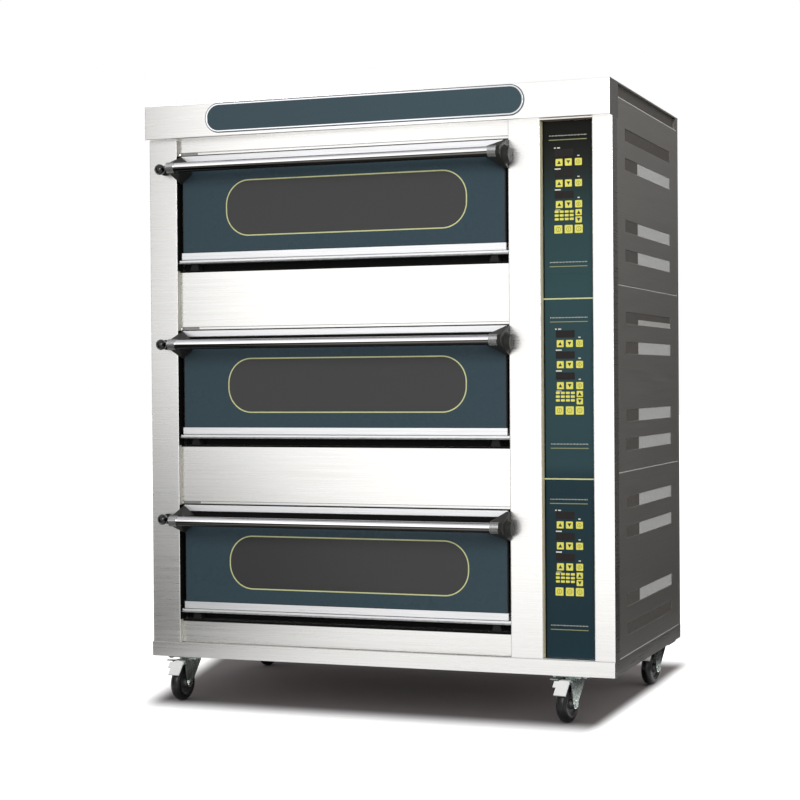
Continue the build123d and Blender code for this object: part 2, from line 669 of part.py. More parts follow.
def make_flue():
    """Rectangular steam duct up the rear left corner, with its round outlet."""
    inside_x = (DUCT_X[0] + SHEET, DUCT_X[1] - SHEET)
    inside_depth = (DUCT_DEPTH[0] + SHEET, DUCT_DEPTH[1] - SHEET)
    low, high = DUCT_HEIGHT
    with BuildPart() as flue:
        block(DUCT_X, DUCT_DEPTH, DUCT_HEIGHT)
        block(inside_x, inside_depth, (low + SHEET, high - SHEET), mode=Mode.SUBTRACT)
        for deck in range(len(DECKS)):
            with BuildSketch(front_plane(DUCT_DEPTH[0] - 1, DAMPER_X, DAMPER_HEIGHT, deck)):
                Rectangle(DAMPER_DISC_RADIUS * 1.2, DAMPER_DISC_RADIUS * 1.2)
            extrude(amount=-5, mode=Mode.SUBTRACT)
        pipe_length = BODY_DEPTH + OUTLET_REACH - DUCT_DEPTH[1]
        outlet_face = front_plane(BODY_DEPTH + OUTLET_REACH, *OUTLET)
        for radius, reach in ((OUTLET_RADIUS, OUTLET_REACH), (OUTLET_RADIUS - 1, pipe_length + 1)):
            with BuildSketch(outlet_face):
                Circle(radius)
            extrude(amount=reach)
        with BuildSketch(outlet_face):
            Circle(OUTLET_RADIUS - 3)
        extrude(amount=pipe_length + 4, mode=Mode.SUBTRACT)
    save(flue.part, "steam_flue")


# ================================================================== controls and electrics
def make_controls():
    """Three control panels, each with a membrane of raised keys and three display windows."""
    with BuildPart() as panels:
        for height in CONTROL_HEIGHTS:
            block((RECESS_LEFT + 1, RECESS_RIGHT - 1), (RECESS_DEPTH, CONTROL_BACK), height)
        chamfer(panels.edges().filter_by(Axis.Z).group_by(Axis.Y)[0], 1.0)
    save(panels.part, "control_panels")

    face = RECESS_DEPTH - MEMBRANE
    key_groups = (
        ((SQUARE_KEY, SQUARE_KEY), SQUARE_KEY_X, SQUARE_KEY_DROPS),
        (SMALL_KEY, SMALL_KEY_X, SMALL_KEY_DROPS),
        (STEP_KEY, SQUARE_KEY_X[-1:], STEP_KEY_DROPS),
        (BIG_KEY, BIG_KEY_X, (BIG_KEY_DROP,)),
    )
    with BuildPart() as keypads:
        for _, top in CONTROL_HEIGHTS:
            block(KEYPAD_X, (face, RECESS_DEPTH), (top - KEYPAD_DROP[1], top - KEYPAD_DROP[0]))
            for size, columns, drops in key_groups:
                with BuildSketch(front_plane(face)):
                    with Locations(*[(x, top - drop) for x in columns for drop in drops]):
                        Rectangle(*size)
                extrude(amount=KEY_RISE)
    save(keypads.part, "keypads")

    with BuildPart() as displays:
        for _, top in CONTROL_HEIGHTS:
            for drop in DISPLAY_DROPS:
                block(DISPLAY_X, (face - 0.8, face), (top - drop - 8.5, top - drop + 8.5))
    save(displays.part, "display_windows")


def make_electrics():
    """Galvanised gear plate behind the slotted panels, with contactors and a terminal strip."""
    with BuildPart() as plate:
        block(RACK_X, RACK_DEPTH, RACK_HEIGHT)
    with BuildPart() as gear:
        for deck in range(len(DECKS)):
            for depth in CONTACTOR_DEPTHS:
                block((590, RACK_X[0]), (depth, depth + CONTACTOR_WIDTH), (210, 280), deck)
            block((600, RACK_X[0]), (420, 640), (130, 160), deck)
        chamfer(gear.edges().filter_by(Axis.Z).group_by(Axis.X)[0], 4)
    save(Compound(children=[plate.part, gear.part]), "electrics_rack")

    with BuildPart() as gland:
        for reach, profile in ((6, 17.0), (23, 14.0)):
            with BuildSketch(front_plane(BODY_DEPTH, *GLAND)):
                RegularPolygon(profile, 6)
            extrude(amount=-reach)
        with BuildSketch(front_plane(BODY_DEPTH, *GLAND)):
            Circle(GLAND_RADIUS)
        extrude(amount=12)
        with BuildSketch(front_plane(BODY_DEPTH - 12, *GLAND)):
            Circle(GLAND_BORE)
        extrude(amount=-35, mode=Mode.SUBTRACT)
    save(gland.part, "cable_gland")


# ================================================================== casters
def make_caster_plates():
    """Top plates with their fixed races."""
    plate = 4.0
    race = 4.0
    with BuildPart() as plates:
        for x, depth, _ in CASTERS.values():
            with BuildSketch(Plane.XY.offset(CASTER_HEIGHT)):
                with Locations((x, FRONT + depth)):
                    chamfer(Rectangle(*CASTER_PLATE).vertices(), 7)
            extrude(amount=-plate)
            with BuildSketch(Plane.XY.offset(CASTER_HEIGHT - plate)):
                with Locations((x, FRONT + depth)):
                    RegularPolygon(CROWN_RADIUS, 12)
            extrude(amount=-race)
            with BuildSketch(Plane.XY.offset(CASTER_HEIGHT)):
                with Locations((x, FRONT + depth)):
                    Circle(PIN_RADIUS + RUNNING_GAP)
            extrude(amount=-plate - race, mode=Mode.SUBTRACT)
    save(plates.part, "caster_plates")


def make_caster(corner):
    """Pressed fork with its kingpin and axle, the wheel, and the brake pedal.

    All three are drawn facing the front, then swivelled together about the kingpin.
    """
    x, depth, turn = CASTERS[corner]
    leg_inside = WHEEL_WIDTH / 2 + FORK_GAP
    leg_outside = leg_inside + FORK_SHEET
    axle = (-CASTER_TRAIL, WHEEL_RADIUS)
    crown_bottom = CROWN_TOP - CROWN
    swivel = Plane(origin=(x, FRONT + depth, 0), x_dir=(0, 1, 0), z_dir=(1, 0, 0))
    ground = Plane(origin=(x, FRONT + depth, 0))
    kingpin = Axis((x, FRONT + depth, 0), (0, 0, 1))

    with BuildPart() as fork:
        with BuildSketch(ground.offset(CROWN_TOP)):
            chamfer(Rectangle(2 * CROWN_RADIUS - 8, 2 * CROWN_RADIUS - 8).vertices(), 15)
        extrude(amount=-CROWN)
        with BuildSketch(ground.offset(crown_bottom)):
            with Locations((0, -7)):
                Rectangle(2 * leg_outside, 62)
        extrude(amount=-CROWN)
        for inner_x in (-leg_outside, leg_inside):
            with BuildSketch(swivel.offset(inner_x)):
                with Locations(axle):
                    RegularPolygon(12, 8)
                with Locations(PEDAL_PIN):
                    Rectangle(2 * PEDAL_PIN_RADIUS + 6, 2 * PEDAL_PIN_RADIUS + 6)
                with Locations((-7, crown_bottom - CROWN / 2)):
                    Rectangle(62, CROWN)
                make_hull()
            extrude(amount=FORK_SHEET)
        with BuildSketch(swivel.offset(-leg_inside)):
            with Locations(PEDAL_PIN):
                Circle(PEDAL_PIN_RADIUS)
        extrude(amount=2 * leg_inside)
        with BuildSketch(swivel.offset(-leg_outside)):
            with Locations(axle):
                Circle(PIN_RADIUS)
        extrude(amount=2 * leg_outside)
        for nut_x in (leg_outside, -leg_outside - 5):
            with BuildSketch(swivel.offset(nut_x)):
                with Locations(axle):
                    RegularPolygon(9, 6)
            extrude(amount=5)
        with BuildSketch(ground.offset(CROWN_TOP)):
            Circle(PIN_RADIUS)
        extrude(amount=7)
        # the release wing beside the pedal
        with BuildSketch(swivel.offset(-leg_outside)):
            with Locations((-40, CROWN_TOP - 5)):
                Rectangle(14, 3)
        extrude(amount=-24)
    save(fork.part.rotate(kingpin, -turn), f"caster_fork_{corner}")

    wheel_centre = (x, FRONT + depth - CASTER_TRAIL, WHEEL_RADIUS)
    with BuildPart() as wheel:
        with BuildSketch(Plane(origin=wheel_centre, x_dir=(1, 0, 0), z_dir=(0, -1, 0))):
            with BuildLine():
                half = WHEEL_WIDTH / 2
                bore = PIN_RADIUS + RUNNING_GAP
                hub = leg_inside - HUB_PLAY
                Polyline((-half, 12), (-half, WHEEL_RADIUS), (half, WHEEL_RADIUS), (half, 12),
                         (hub, 12), (hub, bore), (-hub, bore), (-hub, 12), close=True)
            make_face()
        revolve(axis=Axis(wheel_centre, (1, 0, 0)))
    save(wheel.part.rotate(kingpin, -turn), f"caster_wheel_{corner}")

    with BuildPart() as pedal:
        tread_start = (PEDAL_PIN[0] - 9, PEDAL_PIN[1] + 2)
        with BuildSketch(swivel.offset(-PEDAL_WIDTH / 2)):
            with Locations(PEDAL_PIN):
                Rectangle(2 * PEDAL_PIN_RADIUS + 4.4, 2 * PEDAL_PIN_RADIUS + 4)
            with Locations((tread_start[0] - 2, tread_start[1])):
                Rectangle(5, 5)
            make_hull()
        extrude(amount=PEDAL_WIDTH)
        slope = Vector(0, -0.62, -0.785)
        tread_plane = Plane(
            origin=Vector(x, FRONT + depth + tread_start[0], tread_start[1]),
            x_dir=(1, 0, 0),
            z_dir=Vector(1, 0, 0).cross(slope),
        )
        with BuildSketch(tread_plane):
            with Locations((-4.5, 11)):
                Rectangle(43, 18)
            with Locations((0, 31)):
                Rectangle(34, 24)
            with Locations((0, 2)):
                Rectangle(24, 6)
        extrude(amount=-4)
        with BuildSketch(swivel.offset(-PEDAL_WIDTH / 2)):
            with Locations(PEDAL_PIN):
                Circle(PEDAL_PIN_RADIUS + RUNNING_GAP)
        extrude(amount=PEDAL_WIDTH, mode=Mode.SUBTRACT)
    save(pedal.part.rotate(kingpin, -turn), f"brake_pedal_{corner}")


make_plinth()
make_posts()
make_deck_shelves()
make_control_surround()
make_fascias()
make_canopy()
make_roof()
make_side_panels()
make_vent_screens()
make_back_panels()
make_chamber_fittings()
make_door_hinges()
make_damper_bushes()
make_flue()
make_controls()
make_electrics()
make_caster_plates()
for deck_number, deck_name in enumerate(DECKS):
    make_chamber(deck_number, deck_name)
    make_door(deck_number, deck_name)
    make_damper(deck_number, deck_name)
for corner_name in CASTERS:
    make_caster(corner_name)
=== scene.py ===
# %% [markdown]
# # A three-deck bakery oven
# The shape comes in as a finished model, with its doors, dampers and casters on their joints.
# This lesson gives each sheet, pane and knob its finish, and adds the small parts that the
# model leaves out.  The model is loaded first, so that everything after it can be measured from it.

# %% Load the model
import json
import math

import bmesh
import bpy
from mathutils import Matrix, Vector


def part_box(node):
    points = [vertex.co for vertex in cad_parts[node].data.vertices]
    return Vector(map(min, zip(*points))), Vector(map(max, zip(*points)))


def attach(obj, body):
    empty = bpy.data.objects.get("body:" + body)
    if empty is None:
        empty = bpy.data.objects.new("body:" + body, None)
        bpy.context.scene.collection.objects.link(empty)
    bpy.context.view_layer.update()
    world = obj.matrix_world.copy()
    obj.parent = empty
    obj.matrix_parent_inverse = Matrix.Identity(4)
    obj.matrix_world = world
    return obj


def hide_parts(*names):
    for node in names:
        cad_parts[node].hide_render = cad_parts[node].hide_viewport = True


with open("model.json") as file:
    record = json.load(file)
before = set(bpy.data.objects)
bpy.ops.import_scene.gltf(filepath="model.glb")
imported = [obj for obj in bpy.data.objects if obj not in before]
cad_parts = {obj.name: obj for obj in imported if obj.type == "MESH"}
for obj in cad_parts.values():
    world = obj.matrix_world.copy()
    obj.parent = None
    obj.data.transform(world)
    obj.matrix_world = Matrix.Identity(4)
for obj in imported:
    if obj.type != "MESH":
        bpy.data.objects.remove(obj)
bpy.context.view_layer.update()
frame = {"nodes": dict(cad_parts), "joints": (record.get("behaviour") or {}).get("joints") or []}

# %% [markdown]
# ## Measuring on the oven
# A sheet metal worker measures from the face of the columns and from the top of the plinth, not
# from the middle of the room.  Two corners of the left column give both, and then every size
# below can be read as "across, behind the columns, above the plinth", in millimetres.

# %% A point on the oven
MM = 0.001
column_low, column_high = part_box("left_column")
DECKS = ("lower", "middle", "upper")
CORNERS = ("front_left", "front_right", "rear_left", "rear_right")
DECK_PITCH = 490.0


def at(x, depth, height, deck=0):
    """A place given in workshop millimetres, as a point of the scene in metres."""
    rise = (height + deck * DECK_PITCH) * MM
    return Vector((x * MM, column_low.y + depth * MM, column_low.z + rise))


print("columns stand on", round(column_low.z / MM), "mm and rise to", round(column_high.z / MM))

# %% [markdown]
# ## The camera
# The oven is seen from in front and to its right, from far enough away that its upright lines
# stay nearly parallel.  A long lens does that.  No depth of field is used, because a catalogue
# view is sharp from the door handles to the back corner.

# %% Set the camera
LENS = 83.8
SENSOR_WIDTH = 36.0
CAMERA_X, CAMERA_BACK, CAMERA_HEIGHT = 1.828, 4.6955, 0.898
TURN_LEFT, TIP_DOWN, ROLL = math.radians(20.41), math.radians(0.60), math.radians(-0.41)
camera = bpy.data.objects.new("camera", bpy.data.cameras.new("camera"))
bpy.context.scene.collection.objects.link(camera)
bpy.context.scene.camera = camera
camera.data.lens = LENS
camera.data.sensor_width = SENSOR_WIDTH
camera.data.clip_end = 60.0
camera.location = (CAMERA_X, column_low.y - CAMERA_BACK, CAMERA_HEIGHT)
camera.matrix_world = (
    Matrix.Translation(camera.location)
    @ Matrix.Rotation(TURN_LEFT, 4, "Z")
    @ Matrix.Rotation(math.pi / 2 - TIP_DOWN, 4, "X")
    @ Matrix.Rotation(ROLL, 4, "Z")
)
print("camera", round(camera.location.length, 2), "m from the origin")

# %% [markdown]
# ## Light
# Brushed steel shows what is around it more than it shows lamps, so most of the light comes from
# a plain white surround.  Diffuse light from it is held back, so that a colour comes out about as
# it is written.  One large soft lamp in front keeps the doors readable, and one stands high at the
# back on the left.  Both lamps skip the floor, so the shadow under the oven is a painted shadow.

# %% Helpers for node trees
def feed(tree, socket, value):
    """Links the socket to value if that is a socket too, and otherwise sets it to value."""
    if isinstance(value, bpy.types.NodeSocket):
        tree.links.new(value, socket)
    else:
        socket.default_value = value


def maths(tree, kind, *values):
    """One sum; each value is a number or a socket."""
    node = tree.nodes.new("ShaderNodeMath")
    node.operation = kind
    for socket, value in zip(node.inputs, values):
        feed(tree, socket, value)
    return node.outputs[0]


def spread(tree, source, from_range=(0.0, 1.0), to_range=(0.0, 1.0), soft=False):
    """The source carried from one range to another, and held at its ends."""
    node = tree.nodes.new("ShaderNodeMapRange")
    if soft:
        node.interpolation_type = "SMOOTHSTEP"
    node.inputs["From Min"].default_value, node.inputs["From Max"].default_value = from_range
    node.inputs["To Min"].default_value, node.inputs["To Max"].default_value = to_range
    tree.links.new(source, node.inputs["Value"])
    return node.outputs["Result"]


def mixed(tree, share, first, second):
    """A colour on the way from first to second; each is a colour or a socket."""
    node = tree.nodes.new("ShaderNodeMix")
    node.data_type = "RGBA"
    tree.links.new(share, node.inputs["Factor"])
    feed(tree, node.inputs["A"], first)
    feed(tree, node.inputs["B"], second)
    return node.outputs["Result"]


# %% The surround
DIFFUSE_LEVEL = 0.42
world = bpy.data.worlds.new("white_studio")
bpy.context.scene.world = world
world.use_nodes = True
tree = world.node_tree
surround = tree.nodes["Background"]
surround.inputs["Color"].default_value = (1.0, 1.0, 1.0, 1.0)
rays = tree.nodes.new("ShaderNodeLightPath").outputs
mirrored = maths(tree, "MAXIMUM", rays["Is Glossy Ray"], rays["Is Transmission Ray"])
seen = maths(tree, "MAXIMUM", rays["Is Camera Ray"], mirrored)
strength = spread(tree, seen, to_range=(DIFFUSE_LEVEL, 1.0))
tree.links.new(strength, surround.inputs["Strength"])
bpy.context.scene.view_settings.view_transform = "Standard"
print("surround gives", DIFFUSE_LEVEL, "of white as diffuse light")

# %% The lamps


def lamp(name, place, aim, size, watts):
    """A square soft lamp at place, in metres, that shines towards aim."""
    light = bpy.data.lights.new(name, "AREA")
    light.shape = "SQUARE"
    light.size = size
    light.energy = watts
    holder = bpy.data.objects.new(name, light)
    bpy.context.scene.collection.objects.link(holder)
    holder.location = place
    holder.rotation_euler = (Vector(aim) - Vector(place)).to_track_quat("-Z", "Y").to_euler()
    return holder


lamps = [
    lamp("front_lamp", (2.0, -4.5, 2.4), (0.1, -0.3, 0.8), 2.0, 106.0),
    lamp("back_lamp", (-1.9, 2.6, 3.4), (0.2, -0.2, 0.4), 1.4, 90.0),
]

# %% [markdown]
# ## Cards round the oven
# A white room gives steel nothing to show.  Studios stand cards just outside the view,
# and steel shows those.  Dark ones behind on the right give the whole side of the oven its shade.
# Painted ones in front on the left run from grey to white, so that the left column falls off
# towards the bottom and the front grows brighter towards the right.  One on the floor does the
# same for the plinth.  Only reflections see them, so they throw no light or shadow on the floor.

# %% A painted card
CARD_LIFT = 0.02


def ramp(value, low, high):
    """A soft step, 0 at low and 1 at high."""
    share = min(max((value - low) / (high - low), 0.0), 1.0)
    return share * share * (3 - 2 * share)


def card(name, corners, brightness, steps=24):
    """A card seen in reflections only; brightness is a number or a function of the point."""
    start, right, far, rise = (Vector(corner) for corner in corners)
    points = [start.lerp(right, i / steps).lerp(rise.lerp(far, i / steps), j / steps)
              for j in range(steps + 1) for i in range(steps + 1)]
    row = steps + 1
    faces = [(k, k + 1, k + 1 + row, k + row)
             for j in range(steps) for k in range(j * row, j * row + steps)]
    data = bpy.data.meshes.new(name)
    data.from_pydata(points, [], faces)
    paint = data.color_attributes.new("paint", "FLOAT_COLOR", "POINT")
    for spot, point in zip(paint.data, points):
        grey = brightness(point) if callable(brightness) else brightness
        spot.color = (grey, grey, grey, 1.0)
    finish = bpy.data.materials.new(name)
    finish.use_nodes = True
    nodes, links = finish.node_tree.nodes, finish.node_tree.links
    shade, glow = nodes.new("ShaderNodeAttribute"), nodes.new("ShaderNodeEmission")
    shade.attribute_name = "paint"
    links.new(shade.outputs["Color"], glow.inputs["Color"])
    links.new(glow.outputs[0], nodes["Material Output"].inputs["Surface"])
    data.materials.append(finish)
    shown = bpy.data.objects.new(name, data)
    bpy.context.scene.collection.objects.link(shown)
    shown.visible_camera = shown.visible_shadow = False
    shown.visible_diffuse = shown.visible_transmission = False


def upright(left, right, y, low, high):
    """Corners of a card that stands upright across the room."""
    return [(left, y, low), (right, y, low), (right, y, high), (left, y, high)]


def lying(left, right, front_y, back_y):
    """Corners of a card that lies on the floor."""
    return [(x, y, CARD_LIFT) for x, y in (
        (left, front_y), (right, front_y), (right, back_y), (left, back_y))]


# %% How bright each card is
def side_fade(point):
    """Dark, and a little less so towards the top."""
    return 0.065 + 0.085 * ramp(point.z, 1.1, 2.3)


def left_fade(point):
    """Grey at the bottom left; the white begins further left the higher it is."""
    low = 1 - ramp(point.z, -0.1, 1.1)
    edge, width = -1.96 + 0.72 * low, 0.1 + 0.4 * low
    grey = 0.52 - 0.32 * low - 0.22 * ramp(point.z, 1.2, 1.9)
    white = 1.45 - 0.2 * low
    return grey + (white - grey) * ramp(point.x, edge - width, edge + width)


def floor_fade(point):
    """The same on the floor, where the bright end stays a little under white near the oven."""
    far = ramp(-point.y, 1.4, 2.6)
    edge, grey, bright = -0.58 + 0.2 * point.y, 0.04, 0.86 + 0.24 * far
    return grey + (bright - grey) * ramp(point.x, edge - 0.38, edge + 0.38)


# %% Set up the cards
CARDS = {
    "side_card": (upright(0.75, 6.0, 3.6, 0.0, 4.2), side_fade),
    "side_floor_card": (lying(0.76, 6.0, -0.4, 3.6), 0.025),
    "far_left_card": (upright(-7.0, -2.6, -3.0, 0.0, 4.5), 0.15),
    "left_card": (upright(-2.6, -0.6, -3.0, CARD_LIFT, 2.6), left_fade),
    "front_floor_card": (lying(-3.0, 1.6, -3.0, -0.6), floor_fade),
}
for card_name, (corners, brightness) in CARDS.items():
    card(card_name, corners, brightness)
print(len(CARDS), "cards stand and lie round the oven")

# %% [markdown]
# ## Floor and backdrop
# The floor is pale and runs on to the horizon, where it meets a white surround.  The camera sees
# it at full white, except in a fixed patch under the oven, where a shadow is painted: there the
# floor's colour is painted darker and the added brightness fades out, over the little real light
# that creeps in between the casters.  The lamps are linked to skip the floor, because a lamp low
# enough to light the doors would also reach under the plinth.

# %% Make the floor
FLOOR_REACH = 40.0
floor_mesh = bpy.data.meshes.new("floor")
floor_mesh.from_pydata(
    [(-FLOOR_REACH, -FLOOR_REACH, 0), (FLOOR_REACH, -FLOOR_REACH, 0),
     (FLOOR_REACH, FLOOR_REACH, 0), (-FLOOR_REACH, FLOOR_REACH, 0)], [], [(0, 1, 2, 3)])
floor = bpy.data.objects.new("floor", floor_mesh)
bpy.context.scene.collection.objects.link(floor)
skipped = bpy.data.collections.new("skipped_by_lamps")
skipped.objects.link(floor)
skipped.collection_objects[0].light_linking.link_state = "EXCLUDE"
for holder in lamps:
    holder.light_linking.receiver_collection = skipped
print("floor is", 2 * FLOOR_REACH, "m square")

# %% Paint a shadow on the floor
SHADE_LEAN = 0.235
SHADE_LEFT = (-0.81, -0.71)
SHADE_RIGHT = (0.66, 0.60)
SHADE_FRONT = (-0.58, -0.34)
SHADE_BACK = (0.85, 0.62)
PALE_FLOOR = (0.86, 0.855, 0.85, 1.0)
# The floor's colour inside the patch under the oven: a painted shadow.
PAINTED_SHADOW_FLOOR = (0.34, 0.31, 0.315, 1.0)
floor_finish = bpy.data.materials.new("floor_white")
floor_finish.use_nodes = True
tree = floor_finish.node_tree
paint = tree.nodes["Principled BSDF"]
paint.inputs["Roughness"].default_value = 0.9
paint.inputs["Specular IOR Level"].default_value = 0.0
place = tree.nodes.new("ShaderNodeTexCoord")
split = tree.nodes.new("ShaderNodeSeparateXYZ")
tree.links.new(place.outputs["Object"], split.inputs[0])
across, deep = split.outputs["X"], split.outputs["Y"]
# The soft-edged patch under the oven where a shadow is painted on the floor.
leaning = maths(tree, "ADD", across, maths(tree, "MULTIPLY", deep, SHADE_LEAN))
left_edge = spread(tree, leaning, SHADE_LEFT, soft=True)
right_edge = spread(tree, across, SHADE_RIGHT, soft=True)
front_edge = spread(tree, deep, SHADE_FRONT, soft=True)
back_edge = spread(tree, deep, SHADE_BACK, soft=True)
shade = maths(tree, "MULTIPLY", maths(tree, "MULTIPLY", left_edge, right_edge),
              maths(tree, "MULTIPLY", front_edge, back_edge))
tree.links.new(mixed(tree, shade, PALE_FLOOR, PAINTED_SHADOW_FLOOR), paint.inputs["Base Color"])

# %% Make the floor white to the camera
rays = tree.nodes.new("ShaderNodeLightPath").outputs
watched = maths(tree, "MAXIMUM", rays["Is Camera Ray"], rays["Is Glossy Ray"])
# Inside the painted shadow the added white is taken away too.
lit = maths(tree, "SUBTRACT", 1.0, shade)
glow = tree.nodes.new("ShaderNodeEmission")
tree.links.new(maths(tree, "MULTIPLY", watched, lit), glow.inputs["Strength"])
both = tree.nodes.new("ShaderNodeAddShader")
tree.links.new(paint.outputs[0], both.inputs[0])
tree.links.new(glow.outputs[0], both.inputs[1])
tree.links.new(both.outputs[0], tree.nodes["Material Output"].inputs["Surface"])
floor_mesh.materials.append(floor_finish)
print("shade fades out in front over", round(1000 * (SHADE_FRONT[1] - SHADE_FRONT[0])), "mm")

# %% [markdown]
# ## A kit for finishes
# Every finish starts from the same shader.  What makes steel look like steel and wool like wool
# is small change over the surface, so a few helpers stretch a noise along the grain and feed it
# to the colour, the gloss and the height.  Noise is read in the object's own metres, which makes
# the grain the same size on every part and keeps it still when a door swings.

# %% Helpers for finishes
FINISHES = {}
NOISE_RANGE = (0.25, 0.75)


def rgb(red, green, blue):
    """A screen colour, 0 to 255, as the linear colour that a shader needs."""
    def linear(v):
        v = v / 255
        return v / 12.92 if v <= 0.04045 else ((v + 0.055) / 1.055) ** 2.4
    return (linear(red), linear(green), linear(blue), 1.0)


def new_finish(name, colour, roughness, metallic=0.0, **sockets):
    """A material whose constants are set on the shader itself; colours are 0 to 255."""
    finish = bpy.data.materials.new(name)
    finish.use_nodes = True
    shader = finish.node_tree.nodes["Principled BSDF"]
    shader.inputs["Base Color"].default_value = finish.diffuse_color = rgb(*colour)
    shader.inputs["Roughness"].default_value = roughness
    shader.inputs["Metallic"].default_value = metallic
    for socket, value in sockets.items():
        shader.inputs[socket.replace("_", " ")].default_value = value
    FINISHES[name] = finish
    return finish


def grain(finish, stretch, detail=4.0, seed=0.0):
    """A noise, 0 to 1, with stretch features per metre along X, Y and Z."""
    nodes, links = finish.node_tree.nodes, finish.node_tree.links
    place = nodes.new("ShaderNodeTexCoord")
    scale = nodes.new("ShaderNodeMapping")
    scale.inputs["Scale"].default_value = stretch
    scale.inputs["Location"].default_value = (seed, seed * 0.7, seed * 1.3)
    noise = nodes.new("ShaderNodeTexNoise")
    noise.inputs["Scale"].default_value = 1.0
    noise.inputs["Detail"].default_value = detail
    links.new(place.outputs["Object"], scale.inputs["Vector"])
    links.new(scale.outputs["Vector"], noise.inputs["Vector"])
    return noise.outputs["Fac"]


def tint(finish, source, dark, light, low=0.3, high=0.7):
    """The base colour runs from dark to light as the source goes from low to high."""
    nodes, links = finish.node_tree.nodes, finish.node_tree.links
    ramp = nodes.new("ShaderNodeValToRGB")
    for element, (position, colour) in zip(ramp.color_ramp.elements, ((low, dark), (high, light))):
        element.position, element.color = position, rgb(*colour)
    links.new(source, ramp.inputs["Fac"])
    links.new(ramp.outputs["Color"], nodes["Principled BSDF"].inputs["Base Color"])


def gloss(finish, source, low, high):
    """The roughness runs from low to high with the source."""
    tree = finish.node_tree
    roughness = spread(tree, source, NOISE_RANGE, (low, high))
    tree.links.new(roughness, tree.nodes["Principled BSDF"].inputs["Roughness"])


def relief(finish, source, strength, distance):
    """Fine height from the source; distance is the height of the relief in metres."""
    nodes, links = finish.node_tree.nodes, finish.node_tree.links
    bump = nodes.new("ShaderNodeBump")
    bump.inputs["Strength"].default_value = strength
    bump.inputs["Distance"].default_value = distance
    links.new(source, bump.inputs["Height"])
    links.new(bump.outputs["Normal"], nodes["Principled BSDF"].inputs["Normal"])
    return bump


# %% A colour that runs along a part
def graded(finish, source, start, end, stops):
    """The base colour runs through the stops as the source goes from start to end."""
    nodes, links = finish.node_tree.nodes, finish.node_tree.links
    share = spread(finish.node_tree, source, (start, end))
    ramp = nodes.new("ShaderNodeValToRGB")
    while len(ramp.color_ramp.elements) < len(stops):
        ramp.color_ramp.elements.new(1.0)
    for element, (position, colour) in zip(ramp.color_ramp.elements, stops):
        element.position, element.color = position, rgb(*colour)
    links.new(share, ramp.inputs["Fac"])
    links.new(ramp.outputs["Color"], nodes["Principled BSDF"].inputs["Base Color"])


def along(finish, output, axis):
    """The part's own place ("Object") or facing ("Normal") along one axis."""
    nodes = finish.node_tree.nodes
    place, split = nodes.new("ShaderNodeTexCoord"), nodes.new("ShaderNodeSeparateXYZ")
    finish.node_tree.links.new(place.outputs[output], split.inputs[0])
    return split.outputs[axis]


# %% [markdown]
# ## Brushed steel
# The front is stainless sheet with a directional finish: a belt has drawn thousands of fine
# scratches along it.  They run level, so the noise is stretched along X and Y and tight in Z.
# The roof and sides are the same steel with less polish, in a copy painted darker as painted shade.

# %% Steel finishes
BRUSH_STRENGTH = 0.1


def brushed(name, dark, light, roughness, lines=420.0, metallic=1.0):
    """Steel sheet with level brush marks and a few slow clouds."""
    finish = new_finish(name, light, roughness, metallic)
    marks = grain(finish, (5.0, 5.0, lines), detail=5.0)
    tint(finish, marks, dark, light, 0.32, 0.62)
    smears = grain(finish, (3.0, 3.0, lines / 2), seed=7.0)
    gloss(finish, smears, roughness - 0.04, roughness + 0.04)
    relief(finish, marks, BRUSH_STRENGTH, 0.0001).name = "brush relief"
    return finish


stainless = brushed("stainless", (236, 235, 232), (245, 244, 242), 0.29, lines=640.0)
# A darker copy of the stainless for the sides, posts, back and roof: its darker colour is painted
# shade.
brushed("side_steel_painted_shade", (186, 182, 177), (192, 188, 183), 0.4, lines=700.0)
brushed("rail", (238, 239, 241), (250, 250, 251), 0.3, lines=300.0, metallic=0.5)
# A grey copy of the steel for the lines in folds and seams: painted shade.
brushed("seam_grey", (148, 148, 146), (166, 165, 162), 0.45, lines=500.0)
# A white, unpolished copy of the steel for cut edges: a painted highlight.
brushed("edge_painted_highlight", (240, 238, 234), (250, 249, 246), 0.5, lines=500.0, metallic=0.0)
print(len(FINISHES), "finishes so far")

# %% [markdown]
# ## The flanks of the columns
# The front sheets turn round the corners of the oven.  Their outer faces look at the darker side
# of the room, and are too narrow to show brush marks.  So past the corner the steel's colour is
# painted darker, as painted shade, and its marks fade out.

# %% Paint shade on the flanks
FLANK = (0.6690, 0.6698)
# The darker colour painted on the flanks: painted shade.
FLANK_PAINTED_SHADE = rgb(192, 188, 183)
tree = stainless.node_tree
base_colour = tree.nodes["Principled BSDF"].inputs["Base Color"]
brush = tree.nodes["brush relief"].inputs["Strength"]
flank = spread(tree, maths(tree, "ABSOLUTE", along(stainless, "Object", "X")), FLANK)
tree.links.new(spread(tree, flank, to_range=(BRUSH_STRENGTH, 0.0)), brush)
polish = base_colour.links[0].from_socket
# Past the corner the base colour is painted darker: painted shade.
tree.links.new(mixed(tree, flank, polish, FLANK_PAINTED_SHADE), base_colour)

# %% [markdown]
# ## Polished tube
# A polished tube in a bright room shows a white band where it faces the room, and a dark one
# underneath, where it faces the floor's shadow and the oven.  On the handle tubes these bands
# are also a painted reflection: the colour follows the way the surface faces, so the painted
# bands run straight along every tube and turn with the door.

# %% Chrome
chrome = new_finish("chrome", (232, 233, 236), 0.12, metallic=1.0)
gloss(chrome, grain(chrome, (4.0, 60.0, 60.0)), 0.09, 0.17)
tube = new_finish("tube_chrome_painted_reflection", (232, 233, 236), 0.14, metallic=1.0)
gloss(tube, grain(tube, (4.0, 60.0, 60.0)), 0.11, 0.18)
